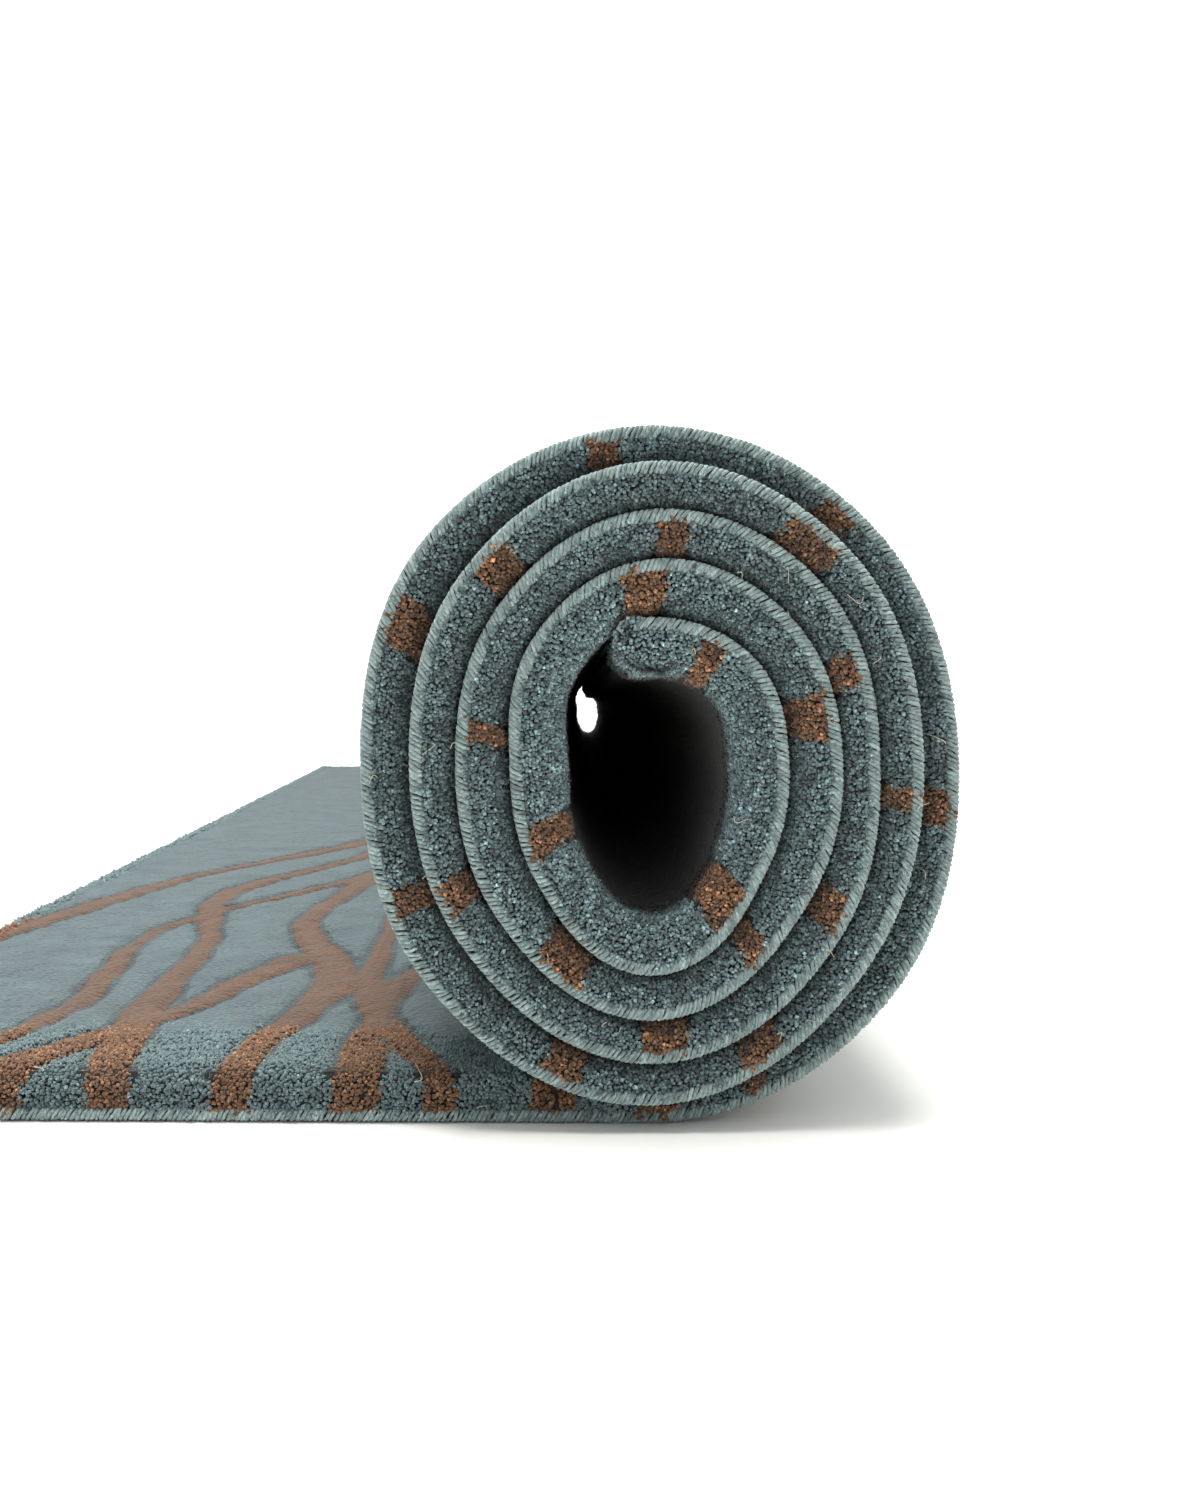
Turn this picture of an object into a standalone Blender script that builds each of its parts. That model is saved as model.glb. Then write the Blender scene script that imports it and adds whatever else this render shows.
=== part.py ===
"""A tufted wool carpet rolled up with its pile inwards, and its last stretch lying flat.

The carpet is one solid. Its section is a spiral that is wound round the Y axis and then runs
along the ground, and straight lines across the carpet join that section at the near end to a
slightly tighter one at the far end. A whipped yarn binding covers each of its four edges.
Every line is described by how far it lies along the section (a station), how far it lies
across the carpet, and how high it lies above the carpet's back.
"""

import math
from typing import NamedTuple

import bmesh
import bpy
from mathutils import Vector

MM = 0.001

# The flat carpet.
CARPET_LENGTH = 2400 * MM
CARPET_WIDTH = 1700 * MM
THICKNESS = 17 * MM

# The binding along the edges, and the step in the carpet's back that it fills.
BINDING_DEPTH = 5 * MM
BINDING_HEIGHT = 3.5 * MM
GAP = 0.3 * MM
STEP_DEPTH = BINDING_DEPTH + GAP
STEP_HEIGHT = BINDING_HEIGHT + GAP

# The roll. Turns are counted clockwise from straight up, seen from the near end.
FIRST_TURN = -0.035
LAST_TURN = 4.5
STEPS_PER_TURN = 36
TURN_CLEARANCE = 0.4 * MM
TIGHTER_AT_FAR_END = 4.4 * MM

# The flat tail. Its near edge slants away from the roll's end.
TAIL_SETBACK = 19 * MM
TAIL_STEP_ANGLE = 5
TAIL_PINCHED_ANGLE = 30


class Turn(NamedTuple):
    """One turn of the roll: how far the carpet's back is from the middle in each direction, in mm.

    edge_setback says how far behind the roll's near end the carpet's edge lies at the turn's top.
    """

    top: float
    top_right: float
    right: float
    low_right: float
    bottom: float
    low_left: float
    left: float
    top_left: float
    edge_setback: float


TURNS = (
    Turn(43.5, 43.0, 40.0, 46.5, 63.0, 49.5, 43.0, 51.5, edge_setback=0),
    Turn(60.5, 59.0, 56.0, 62.5, 76.5, 65.5, 59.0, 65.5, edge_setback=0),
    Turn(75.0, 72.5, 67.0, 76.5, 89.5, 79.0, 72.5, 80.0, edge_setback=0),
    Turn(89.0, 85.0, 80.0, 88.5, 102.0, 94.5, 87.5, 96.0, edge_setback=0),
    Turn(101.0, 97.0, 93.0, 102.5, 110.0, 102.5, 102.5, 102.5, edge_setback=9),
)
DIRECTIONS = 8
RADII = [radius * MM for turn in TURNS for radius in turn[:DIRECTIONS]]
MIDDLE_HEIGHT = TURNS[-1].bottom * MM


class Rib(NamedTuple):
    """The carpet's section at one edge: a point on its back, which way its pile stands, its height."""

    back: Vector
    pile_way: Vector
    height: float


class Station(NamedTuple):
    """A straight line across the carpet, from its near edge to its far edge."""

    near: Rib
    far: Rib
    setback: float


def smooth_step(start: float, end: float, value: float) -> float:
    """Returns 0 before start and 1 after end, and eases between them."""
    share = min(max((value - start) / (end - start), 0.0), 1.0)
    return share * share * (3 - 2 * share)


def back_radius(turn: float, tighter: float) -> float:
    """Returns how far the carpet's back is from the roll's middle, on a smooth curve through RADII."""
    index = min(max(math.floor(turn * DIRECTIONS), 0), len(RADII) - 2)
    share = turn * DIRECTIONS - index
    start, end = RADII[index], RADII[index + 1]
    before = RADII[index - 1] if index else 2 * start - end
    after = RADII[index + 2]
    leave, arrive = (end - before) / 2, (after - start) / 2
    cubic = 2 * start - 2 * end + leave + arrive
    square = 3 * end - 3 * start - 2 * leave - arrive
    return ((cubic * share + square) * share + leave) * share + start - tighter


def turn_setback(turn: float) -> float:
    """Returns how far the carpet's near edge lies behind the roll's near end."""
    index = int(min(max(turn, 0), len(TURNS) - 1))
    following = TURNS[min(index + 1, len(TURNS) - 1)].edge_setback
    eased = smooth_step(index + 0.5, index + 1, turn)
    return (TURNS[index].edge_setback + (following - TURNS[index].edge_setback) * eased) * MM


def roll_rib(turn: float, tighter: float) -> Rib:
    """Returns the section in the roll. The turn inside it presses its pile flat."""
    radius = back_radius(turn, tighter)
    outward = Vector((math.sin(math.tau * turn), 0, math.cos(math.tau * turn)))
    middle = Vector((0, 0, MIDDLE_HEIGHT - tighter))
    height = THICKNESS
    if turn - 1 > FIRST_TURN - 1 / STEPS_PER_TURN:
        height = min(height, radius - back_radius(turn - 1, tighter) - TURN_CLEARANCE)
    return Rib(middle + outward * radius, -outward, height)


def wound_length(tighter: float) -> float:
    """Returns the length of carpet in the roll, measured along its back."""
    steps = int((LAST_TURN - FIRST_TURN) * STEPS_PER_TURN)
    turns = [FIRST_TURN + (LAST_TURN - FIRST_TURN) * step / steps for step in range(steps + 1)]
    points = [roll_rib(turn, tighter).back for turn in turns]
    return sum((end - start).length for start, end in zip(points, points[1:]))


def tail_rib(x: float, roof_turn: float, tighter: float) -> Rib:
    """Returns the section on the ground. The roll above it presses the pile flat."""
    roof = roll_rib(roof_turn, tighter).back.z if roof_turn > LAST_TURN - 1 else 0
    height = min(THICKNESS, roof - TURN_CLEARANCE) if roof else THICKNESS
    return Rib(Vector((x, 0, 0)), Vector((0, 0, 1)), height)


def roll_stations() -> list[Station]:
    """Returns the lines across the carpet in the roll, from its inner end to the ground."""
    first_step = math.ceil(FIRST_TURN * STEPS_PER_TURN) + 1
    last_step = round(LAST_TURN * STEPS_PER_TURN)
    end_turns = [
        FIRST_TURN + depth / (math.tau * back_radius(FIRST_TURN, 0))
        for depth in (0, BINDING_DEPTH, STEP_DEPTH)
    ]
    turns = end_turns + [step / STEPS_PER_TURN for step in range(first_step, last_step + 1)]
    return [
        Station(roll_rib(turn, 0), roll_rib(turn, TIGHTER_AT_FAR_END), turn_setback(turn))
        for turn in turns
    ]


def tail_stations() -> list[Station]:
    """Returns the lines across the carpet's tail, from under the roll to its flat end."""
    lengths = [CARPET_LENGTH - wound_length(tighter) for tighter in (0, TIGHTER_AT_FAR_END)]
    start_setback = turn_setback(LAST_TURN)
    stations = []
    for angle in range(TAIL_STEP_ANGLE, TAIL_PINCHED_ANGLE + 1, TAIL_STEP_ANGLE):
        roof_turn = LAST_TURN - 1 + angle / 360
        roofs = [roll_rib(roof_turn, tighter).back for tighter in (0, TIGHTER_AT_FAR_END)]
        ribs = [
            tail_rib(roof.x, roof_turn, tighter)
            for roof, tighter in zip(roofs, (0, TIGHTER_AT_FAR_END))
        ]
        along = -roofs[0].x / lengths[0]
        setback = start_setback + (TAIL_SETBACK - start_setback) * along
        stations.append(Station(*ribs, setback))
    for inset in (STEP_DEPTH, BINDING_DEPTH, 0):
        ribs = [tail_rib(inset - length, 0, 0) for length in lengths]
        stations.append(Station(*ribs, TAIL_SETBACK))
    return stations


def point(station: Station, across: float, level: float) -> Vector:
    """Returns the place of a point of the carpet.

    Args:
        station: the line across the carpet that it lies on.
        across: how far it is from the carpet's near edge.
        level: how high it is above the carpet's back, or infinity for the top of the pile.
    """
    share = across / CARPET_WIDTH
    ends = [rib.back + rib.pile_way * min(level, rib.height) for rib in (station.near, station.far)]
    place = ends[0].lerp(ends[1], share)
    return place + Vector((0, station.setback + across, 0))


class SheetMesh:
    """A mesh whose corners are named by station, place across and level, and made once each."""

    def __init__(self, stations: list[Station], across: tuple[float, ...], levels: tuple[float, ...]):
        self.stations = stations
        self.across = across
        self.levels = levels
        self.mesh = bmesh.new()
        self.corners = {}

    def face(self, *keys: tuple[int, int, int]) -> None:
        """Adds a face through corners that are given as (station, across, level)."""
        for key in keys:
            if key not in self.corners:
                station, across, level = key
                place = point(self.stations[station], self.across[across], self.levels[level])
                self.corners[key] = self.mesh.verts.new(place)
        self.mesh.faces.new([self.corners[key] for key in keys])

    def finish(self, name: str, material: bpy.types.Material, middle: Vector) -> None:
        """Makes the object, with middle moved to the origin and its faces pointing out."""
        bmesh.ops.translate(self.mesh, verts=self.mesh.verts, vec=-middle)
        bmesh.ops.recalc_face_normals(self.mesh, faces=self.mesh.faces)
        data = bpy.data.meshes.new(name)
        self.mesh.to_mesh(data)
        self.mesh.free()
        data.shade_smooth()
        data.set_sharp_from_angle(angle=math.radians(40))
        data.materials.append(material)
        bpy.context.scene.collection.objects.link(bpy.data.objects.new(name, data))


def yarn_material(name: str, colour: tuple[float, float, float]) -> bpy.types.Material:
    """Returns a plain material for wool in one colour."""
    material = bpy.data.materials.new(name)
    material.use_nodes = True
    shader = material.node_tree.nodes["Principled BSDF"]
    shader.inputs["Base Color"].default_value = (*colour, 1)
    shader.inputs["Roughness"].default_value = 0.95
    shader.inputs["Metallic"].default_value = 0
    return material


def build_carpet(stations: list[Station], middle: Vector) -> None:
    """Builds the carpet, whose back steps up along all four edges to take the binding."""
    across = (0.0, STEP_DEPTH, CARPET_WIDTH - STEP_DEPTH, CARPET_WIDTH)
    back, step, pile = range(3)
    sheet = SheetMesh(stations, across, (0.0, STEP_HEIGHT, math.inf))
    last = len(stations) - 1
    # The binding at the inner end covers two strips between stations, and so does the tail's.
    bound = (0, 1, last - 2, last - 1)
    for here in range(last):
        there = here + 1
        sheet.face((here, 0, pile), (there, 0, pile), (there, 3, pile), (here, 3, pile))
        for edge in (0, 3):
            sheet.face((here, edge, step), (there, edge, step), (there, edge, pile), (here, edge, pile))
        for column in range(3):
            level = step if here in bound or column != 1 else back
            sheet.face((here, column, level), (there, column, level), (there, column + 1, level),
                       (here, column + 1, level))
        if here not in bound:
            for side in (1, 2):
                sheet.face((here, side, back), (there, side, back), (there, side, step),
                           (here, side, step))
    for end in (0, last):
        sheet.face((end, 0, pile), (end, 3, pile), *((end, column, step) for column in (3, 2, 1, 0)))
    for end in (2, last - 2):
        sheet.face((end, 1, back), (end, 2, back), (end, 2, step), (end, 1, step))
    sheet.finish("carpet", yarn_material("pile_wool", (0.11, 0.155, 0.165)), middle)


def build_binding(name: str, stations: list[Station], low: float, high: float, middle: Vector,
                  material: bpy.types.Material) -> None:
    """Builds a strip of binding.

    Args:
        name: the strip's name.
        stations: the lines across the carpet that it runs over.
        low, high: its two sides, measured from the carpet's near edge.
        middle: the point that becomes the origin.
        material: its finish.
    """
    strip = SheetMesh(stations, (low, high), (0.0, BINDING_HEIGHT))
    outline = ((0, 0), (1, 0), (1, 1), (0, 1))
    for here in range(len(stations) - 1):
        for start, end in zip(outline, outline[1:] + outline[:1]):
            strip.face((here, *start), (here + 1, *start), (here + 1, *end), (here, *end))
    for end in (0, len(stations) - 1):
        strip.face(*((end, *corner) for corner in outline))
    strip.finish(name, material, middle)


def build_bindings(stations: list[Station], middle: Vector) -> None:
    """Builds the binding of each edge. The two end strips fit between the two long ones."""
    yarn = yarn_material("binding_yarn", (0.28, 0.34, 0.34))
    far_side = CARPET_WIDTH - BINDING_DEPTH
    build_binding("overcast_front", stations, 0.0, BINDING_DEPTH, middle, yarn)
    build_binding("overcast_back", stations, far_side, CARPET_WIDTH, middle, yarn)
    between = (STEP_DEPTH, CARPET_WIDTH - STEP_DEPTH)
    build_binding("overcast_inner", stations[:2], *between, middle, yarn)
    build_binding("overcast_tail", stations[-2:], *between, middle, yarn)


def base_middle(stations: list[Station]) -> Vector:
    """Returns the middle of the base of the box that holds the carpet."""
    edges = [
        point(station, across, level)
        for station in stations
        for across in (0.0, CARPET_WIDTH)
        for level in (0.0, math.inf)
    ]
    low = Vector(min(place[axis] for place in edges) for axis in range(3))
    high = Vector(max(place[axis] for place in edges) for axis in range(3))
    return Vector(((low.x + high.x) / 2, (low.y + high.y) / 2, low.z))


def main() -> None:
    """Clears the scene and builds the carpet and its bindings."""
    for obj in list(bpy.data.objects):
        bpy.data.objects.remove(obj)
    stations = roll_stations() + tail_stations()
    middle = base_middle(stations)
    build_carpet(stations, middle)
    build_bindings(stations, middle)


main()
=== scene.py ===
"""The finish of a rolled up carpet: tufted wool pile, woven back, whipped edges and stray fibres.

Every part of the carpet is worked out in the flat, as it leaves the loom, and then rolled up.
A place in the flat is along (from the inner end to the tail end), across (from the near edge
to the far edge) and height (above the carpet's back). RolledCloth turns it into a place in
the room, so tufts, stitches and pattern all follow the same roll.
"""

import logging
import math
from dataclasses import dataclass, field
from enum import Enum
from typing import Any

import bpy
import numpy as np
from mathutils import Euler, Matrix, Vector


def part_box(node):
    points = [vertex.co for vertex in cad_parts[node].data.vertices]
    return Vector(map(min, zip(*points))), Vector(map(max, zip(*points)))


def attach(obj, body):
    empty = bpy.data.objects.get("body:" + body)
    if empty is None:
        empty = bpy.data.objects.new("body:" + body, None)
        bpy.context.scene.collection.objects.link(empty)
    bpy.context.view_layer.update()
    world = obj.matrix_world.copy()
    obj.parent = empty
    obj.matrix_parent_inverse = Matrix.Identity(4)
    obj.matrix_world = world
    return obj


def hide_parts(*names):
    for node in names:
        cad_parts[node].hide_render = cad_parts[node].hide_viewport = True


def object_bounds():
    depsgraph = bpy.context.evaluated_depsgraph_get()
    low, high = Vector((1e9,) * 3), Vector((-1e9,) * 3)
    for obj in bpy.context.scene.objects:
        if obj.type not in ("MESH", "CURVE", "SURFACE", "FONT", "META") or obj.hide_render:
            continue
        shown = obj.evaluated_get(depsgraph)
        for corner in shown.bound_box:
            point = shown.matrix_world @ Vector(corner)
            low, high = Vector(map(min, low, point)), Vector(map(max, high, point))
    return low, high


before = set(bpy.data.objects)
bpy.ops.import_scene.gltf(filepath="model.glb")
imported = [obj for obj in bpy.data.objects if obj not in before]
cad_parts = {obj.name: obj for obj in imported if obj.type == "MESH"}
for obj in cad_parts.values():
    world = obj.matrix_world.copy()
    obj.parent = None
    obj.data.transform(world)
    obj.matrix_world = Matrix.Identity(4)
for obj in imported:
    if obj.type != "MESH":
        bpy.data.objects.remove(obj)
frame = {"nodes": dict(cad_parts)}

LOG = logging.getLogger("carpet")
MM = 0.001
CAD_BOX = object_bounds()
# The sockets of a Mix node that mixes two colours.
SHARE, FIRST, SECOND, MIXED = 0, 6, 7, 2


def linear(hex_colour: str, alpha: float = 1.0) -> tuple[float, float, float, float]:
    """Returns the linear RGBA of an sRGB colour such as "#8FA3A2".

    Args:
        hex_colour: the colour, as # and six digits.
        alpha: how solid it is.

    Returns:
        Red, green, blue and alpha.
    """
    parts = [int(hex_colour[start:start + 2], 16) / 255 for start in (1, 3, 5)]
    curve = [part / 12.92 if part <= 0.04045 else ((part + 0.055) / 1.055) ** 2.4 for part in parts]
    return (*curve, alpha)


# ----------------------------------------------------------------------------- the roll's shape


@dataclass(frozen=True)
class Turn:
    """One turn of the roll: how far the carpet's back is from the middle in each direction, in mm.

    edge_setback says how far behind the roll's near end the carpet's edge lies at the turn's top.
    """

    top: float
    top_right: float
    right: float
    low_right: float
    bottom: float
    low_left: float
    left: float
    top_left: float
    edge_setback: float = 0.0

    def radii(self) -> list[float]:
        """Returns the eight distances, clockwise from the top."""
        return [self.top, self.top_right, self.right, self.low_right,
                self.bottom, self.low_left, self.left, self.top_left]


TURNS = (
    Turn(43.5, 43.0, 40.0, 46.5, 63.0, 49.5, 43.0, 51.5),
    Turn(60.5, 59.0, 56.0, 62.5, 76.5, 65.5, 59.0, 65.5),
    Turn(75.0, 72.5, 67.0, 76.5, 89.5, 79.0, 72.5, 80.0),
    Turn(89.0, 85.0, 80.0, 88.5, 102.0, 94.5, 87.5, 96.0),
    Turn(101.0, 97.0, 93.0, 102.5, 110.0, 102.5, 102.5, 102.5, edge_setback=9.0),
)


def smooth_step(start: float, end: float, values: np.ndarray) -> np.ndarray:
    """Returns 0 before start and 1 after end, and eases between them."""
    share = np.clip((values - start) / (end - start), 0.0, 1.0)
    return share * share * (3 - 2 * share)


@dataclass
class Edge:
    """The carpet's section along one long edge, sampled at every station of the cloth."""

    tighter: float
    back: np.ndarray = field(default_factory=lambda: np.zeros(0))
    pile_way: np.ndarray = field(default_factory=lambda: np.zeros(0))
    height: np.ndarray = field(default_factory=lambda: np.zeros(0))
    along: np.ndarray = field(default_factory=lambda: np.zeros(0))
    free_way: np.ndarray = field(default_factory=lambda: np.zeros(2))
    tail: float = 0.0


@dataclass
class RolledCloth:
    """The rolled carpet as a mapping from places in the flat to places in the room.

    The pile of the free inner end has nothing beside it, so it splays out.
    """

    length: float = 2400 * MM
    width: float = 1700 * MM
    thickness: float = 17 * MM
    first_turn: float = -0.035
    last_turn: float = 4.5
    clearance: float = 0.4 * MM
    tighter_at_far_end: float = 4.4 * MM
    fuller_at_far_end: float = 5.2 * MM
    tail_setback: float = 19 * MM
    splay: float = 4.2 * MM
    splayed_length: float = 16 * MM
    splayed_belly: float = 2.6
    splayed_tips: float = 0.5
    samples: int = 9000
    refinements: int = 6
    chords_per_turn: int = 36

    def __post_init__(self) -> None:
        """Samples both long edges and finds where the roll stands in the frame."""
        self.radii = np.array([radius for turn in TURNS for radius in turn.radii()]) * MM
        self.middle_height = TURNS[-1].bottom * MM
        self.stations = np.linspace(self.first_turn, self.last_turn + 1, self.samples)
        self.near = self.sampled_edge(0.0)
        self.far = self.sampled_edge(self.tighter_at_far_end)
        self.setback = self.sampled_setback()
        low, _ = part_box("carpet")
        self.corner = np.array([low.x + self.far.tail, low.y, low.z])

    def back_radius(self, turns: np.ndarray, tighter: float) -> np.ndarray:
        """Returns how far the back is from the roll's middle, on a smooth curve through the turns.

        Args:
            turns: places on the spiral, in turns from the top of the first one.
            tighter: how much smaller the roll is here than at its near end.

        Returns:
            A distance for each place.
        """
        places = turns * 8
        index = np.clip(np.floor(places).astype(int), 0, len(self.radii) - 3)
        share = places - index
        start, end = self.radii[index], self.radii[index + 1]
        before = np.where(index > 0, self.radii[np.maximum(index - 1, 0)], 2 * start - end)
        leave, arrive = (end - before) / 2, (self.radii[index + 2] - start) / 2
        cubic = 2 * start - 2 * end + leave + arrive
        square = 3 * end - 3 * start - 2 * leave - arrive
        return ((cubic * share + square) * share + leave) * share + start - tighter

    def roll_back(self, turns: np.ndarray, tighter: float) -> tuple[np.ndarray, np.ndarray]:
        """Returns points on the carpet's back in the roll as (x, z), and the ways outward there.

        Args:
            turns: places on the spiral.
            tighter: how much smaller the roll is here.

        Returns:
            The points, and the unit ways outward.
        """
        outward = np.stack([np.sin(math.tau * turns), np.cos(math.tau * turns)], axis=1)
        middle = np.array([0.0, self.middle_height - tighter])
        return middle + outward * self.back_radius(turns, tighter)[:, None], outward

    def sampled_edge(self, tighter: float) -> Edge:
        """Returns one long edge, in the roll and then along the tail.

        Args:
            tighter: how much smaller the roll is at this edge than at the near one.

        Returns:
            The edge, sampled at every station.
        """
        edge = Edge(tighter)
        chords = int((self.last_turn - self.first_turn) * self.chords_per_turn)
        coarse, _ = self.roll_back(np.linspace(self.first_turn, self.last_turn, chords + 1), tighter)
        edge.tail = self.length - np.linalg.norm(np.diff(coarse, axis=0), axis=1).sum()

        turns = np.minimum(self.stations, self.last_turn)
        rolled, outward = self.roll_back(turns, tighter)
        on_tail = self.stations > self.last_turn
        tail_x = -(self.stations - self.last_turn) * edge.tail
        edge.back = np.where(on_tail[:, None], np.stack([tail_x, 0 * tail_x], axis=1), rolled)
        edge.pile_way = np.where(on_tail[:, None], np.array([0.0, 1.0]), -outward)

        inner = self.back_radius(turns - 1, tighter)
        pressed = self.back_radius(turns, tighter) - inner - self.clearance
        # Only the far edge is fuller, and only in the innermost turn, where nothing presses on it.
        fuller = self.fuller_at_far_end * (tighter > 0) * smooth_step(-1, -0.85, -turns)
        chord = 1 / self.chords_per_turn
        covered = smooth_step(self.first_turn - chord, self.first_turn + chord, turns - 1)
        squeezed = np.minimum(self.thickness, pressed) - self.thickness
        rolled_height = self.thickness + covered * squeezed
        roof, _ = self.roll_back(np.linspace(self.last_turn - 1, self.last_turn - 0.9, 200), tighter)
        tail_height = np.interp(-tail_x, -roof[:, 0], roof[:, 1] - self.clearance, right=1.0)
        edge.height = np.where(on_tail, np.minimum(self.thickness, tail_height),
                               rolled_height + fuller)

        steps = np.linalg.norm(np.diff(edge.back, axis=0), axis=1)
        along = np.concatenate([[0.0], np.cumsum(steps)])
        wound = np.interp(self.last_turn, self.stations, along)
        edge.along = np.where(on_tail, self.length - edge.tail - tail_x,
                              along * (self.length - edge.tail) / wound)
        edge.free_way = -unit(edge.back[1] - edge.back[0])
        return edge

    def sampled_setback(self) -> np.ndarray:
        """Returns how far the near edge lies behind the roll's near end, at every station.

        Returns:
            The distances.
        """
        last = TURNS[-1].edge_setback * MM
        rolled = last * smooth_step(len(TURNS) - 1.5, len(TURNS) - 1, self.stations)
        on_tail = np.clip(self.stations - self.last_turn, 0, 1)
        return rolled + (self.tail_setback - last) * on_tail

    def station(self, along: np.ndarray, across: np.ndarray) -> np.ndarray:
        """Returns the station of each place in the flat.

        Args:
            along: places along the flat carpet.
            across: places across it.

        Returns:
            A station for each place.
        """
        share = across / self.width
        lag = self.near.along - self.far.along
        found = np.interp(along, self.near.along, self.stations)
        for _ in range(self.refinements):
            shift = share * np.interp(found, self.stations, lag)
            found = np.interp(along + shift, self.near.along, self.stations)
        return found

    def along(self, station: np.ndarray, across: np.ndarray) -> np.ndarray:
        """Returns how far along the flat carpet a station is, at each place across.

        Args:
            station: the stations.
            across: the places across.

        Returns:
            A distance along for each.
        """
        near = np.interp(station, self.stations, self.near.along)
        far = np.interp(station, self.stations, self.far.along)
        return near + (far - near) * across / self.width

    def height(self, station: np.ndarray, across: np.ndarray) -> np.ndarray:
        """Returns how high the pile stands above the back.

        Args:
            station: the stations.
            across: the places across.

        Returns:
            A height for each.
        """
        near = np.interp(station, self.stations, self.near.height)
        far = np.interp(station, self.stations, self.far.height)
        return near + (far - near) * across / self.width

    def place(self, station: np.ndarray, across: np.ndarray, height: np.ndarray) -> np.ndarray:
        """Returns points in the room for places on the cloth, one row each.

        Args:
            station: the stations.
            across: the places across.
            height: the heights above the back.

        Returns:
            The points, as (place, xyz).
        """
        station, across, height = np.broadcast_arrays(station, across, height)
        ends = []
        for edge in (self.near, self.far):
            free = 1 - smooth_step(0, self.splayed_length, np.interp(station, self.stations, edge.along))
            level = np.clip(height / self.thickness, 0, 1.1)
            lean = self.splay * free * level * (self.splayed_belly * (1 - level) + self.splayed_tips)
            columns = [np.interp(station, self.stations, edge.back[:, axis])
                       + height * np.interp(station, self.stations, edge.pile_way[:, axis])
                       + lean * edge.free_way[axis]
                       for axis in (0, 1)]
            ends.append(np.stack(columns, axis=-1))
        share = (across / self.width)[..., None]
        section = ends[0] + (ends[1] - ends[0]) * share
        setback = np.interp(station, self.stations, self.setback)
        points = np.stack([section[..., 0], setback + across, section[..., 1]], axis=-1)
        return points + self.corner

    def above_floor(self, points: np.ndarray) -> np.ndarray:
        """Returns points with those under the floor lifted onto it."""
        return np.concatenate([points[..., :2], np.maximum(points[..., 2:], self.corner[2])], axis=-1)

    def frames(self, station: np.ndarray, across: np.ndarray) -> tuple[np.ndarray, ...]:
        """Returns the unit ways along, across and up out of the cloth at each place.

        Args:
            station: the stations.
            across: the places across.

        Returns:
            The three ways.
        """
        step = 2e-4
        ahead = self.place(station + step, across, 0 * across)
        behind = self.place(station - step, across, 0 * across)
        origin = self.place(station, across, 0 * across)
        up = self.place(station, across, 0 * across + MM) - origin
        way = unit(ahead - behind)
        sideways = unit(self.place(station, across + MM, 0 * across) - origin)
        return way, sideways, unit(up)


def unit(vectors: np.ndarray) -> np.ndarray:
    """Returns vectors made one long."""
    return vectors / np.maximum(np.linalg.norm(vectors, axis=-1, keepdims=True), 1e-12)


# ----------------------------------------------------------------------- pattern and unevenness


class SoftNoise:
    """Smooth random values over the flat carpet, the same each run."""

    def __init__(self, cell: tuple[float, float], seed: int, size: int = 257) -> None:
        """Draws the grid.

        Args:
            cell: how far apart the random values are, along and across.
            seed: picks the grid.
            size: how many values there are each way before they repeat.
        """
        self.cell = cell
        self.grid = np.random.default_rng(seed).uniform(-1, 1, (size, size))
        self.size = size

    def at(self, along: np.ndarray, across: np.ndarray) -> np.ndarray:
        """Returns values from -1 to 1.

        Args:
            along: places along the flat carpet.
            across: places across it.

        Returns:
            A value for each place.
        """
        x, y = np.asarray(along) / self.cell[0], np.asarray(across) / self.cell[1]
        column, row = np.floor(x).astype(int), np.floor(y).astype(int)
        u, v = smooth_step(0, 1, x - column), smooth_step(0, 1, y - row)
        left, right = column % self.size, (column + 1) % self.size
        low, high = row % self.size, (row + 1) % self.size
        near = self.grid[left, low] * (1 - u) + self.grid[right, low] * u
        far = self.grid[left, high] * (1 - u) + self.grid[right, high] * u
        return near * (1 - v) + far * v


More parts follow.
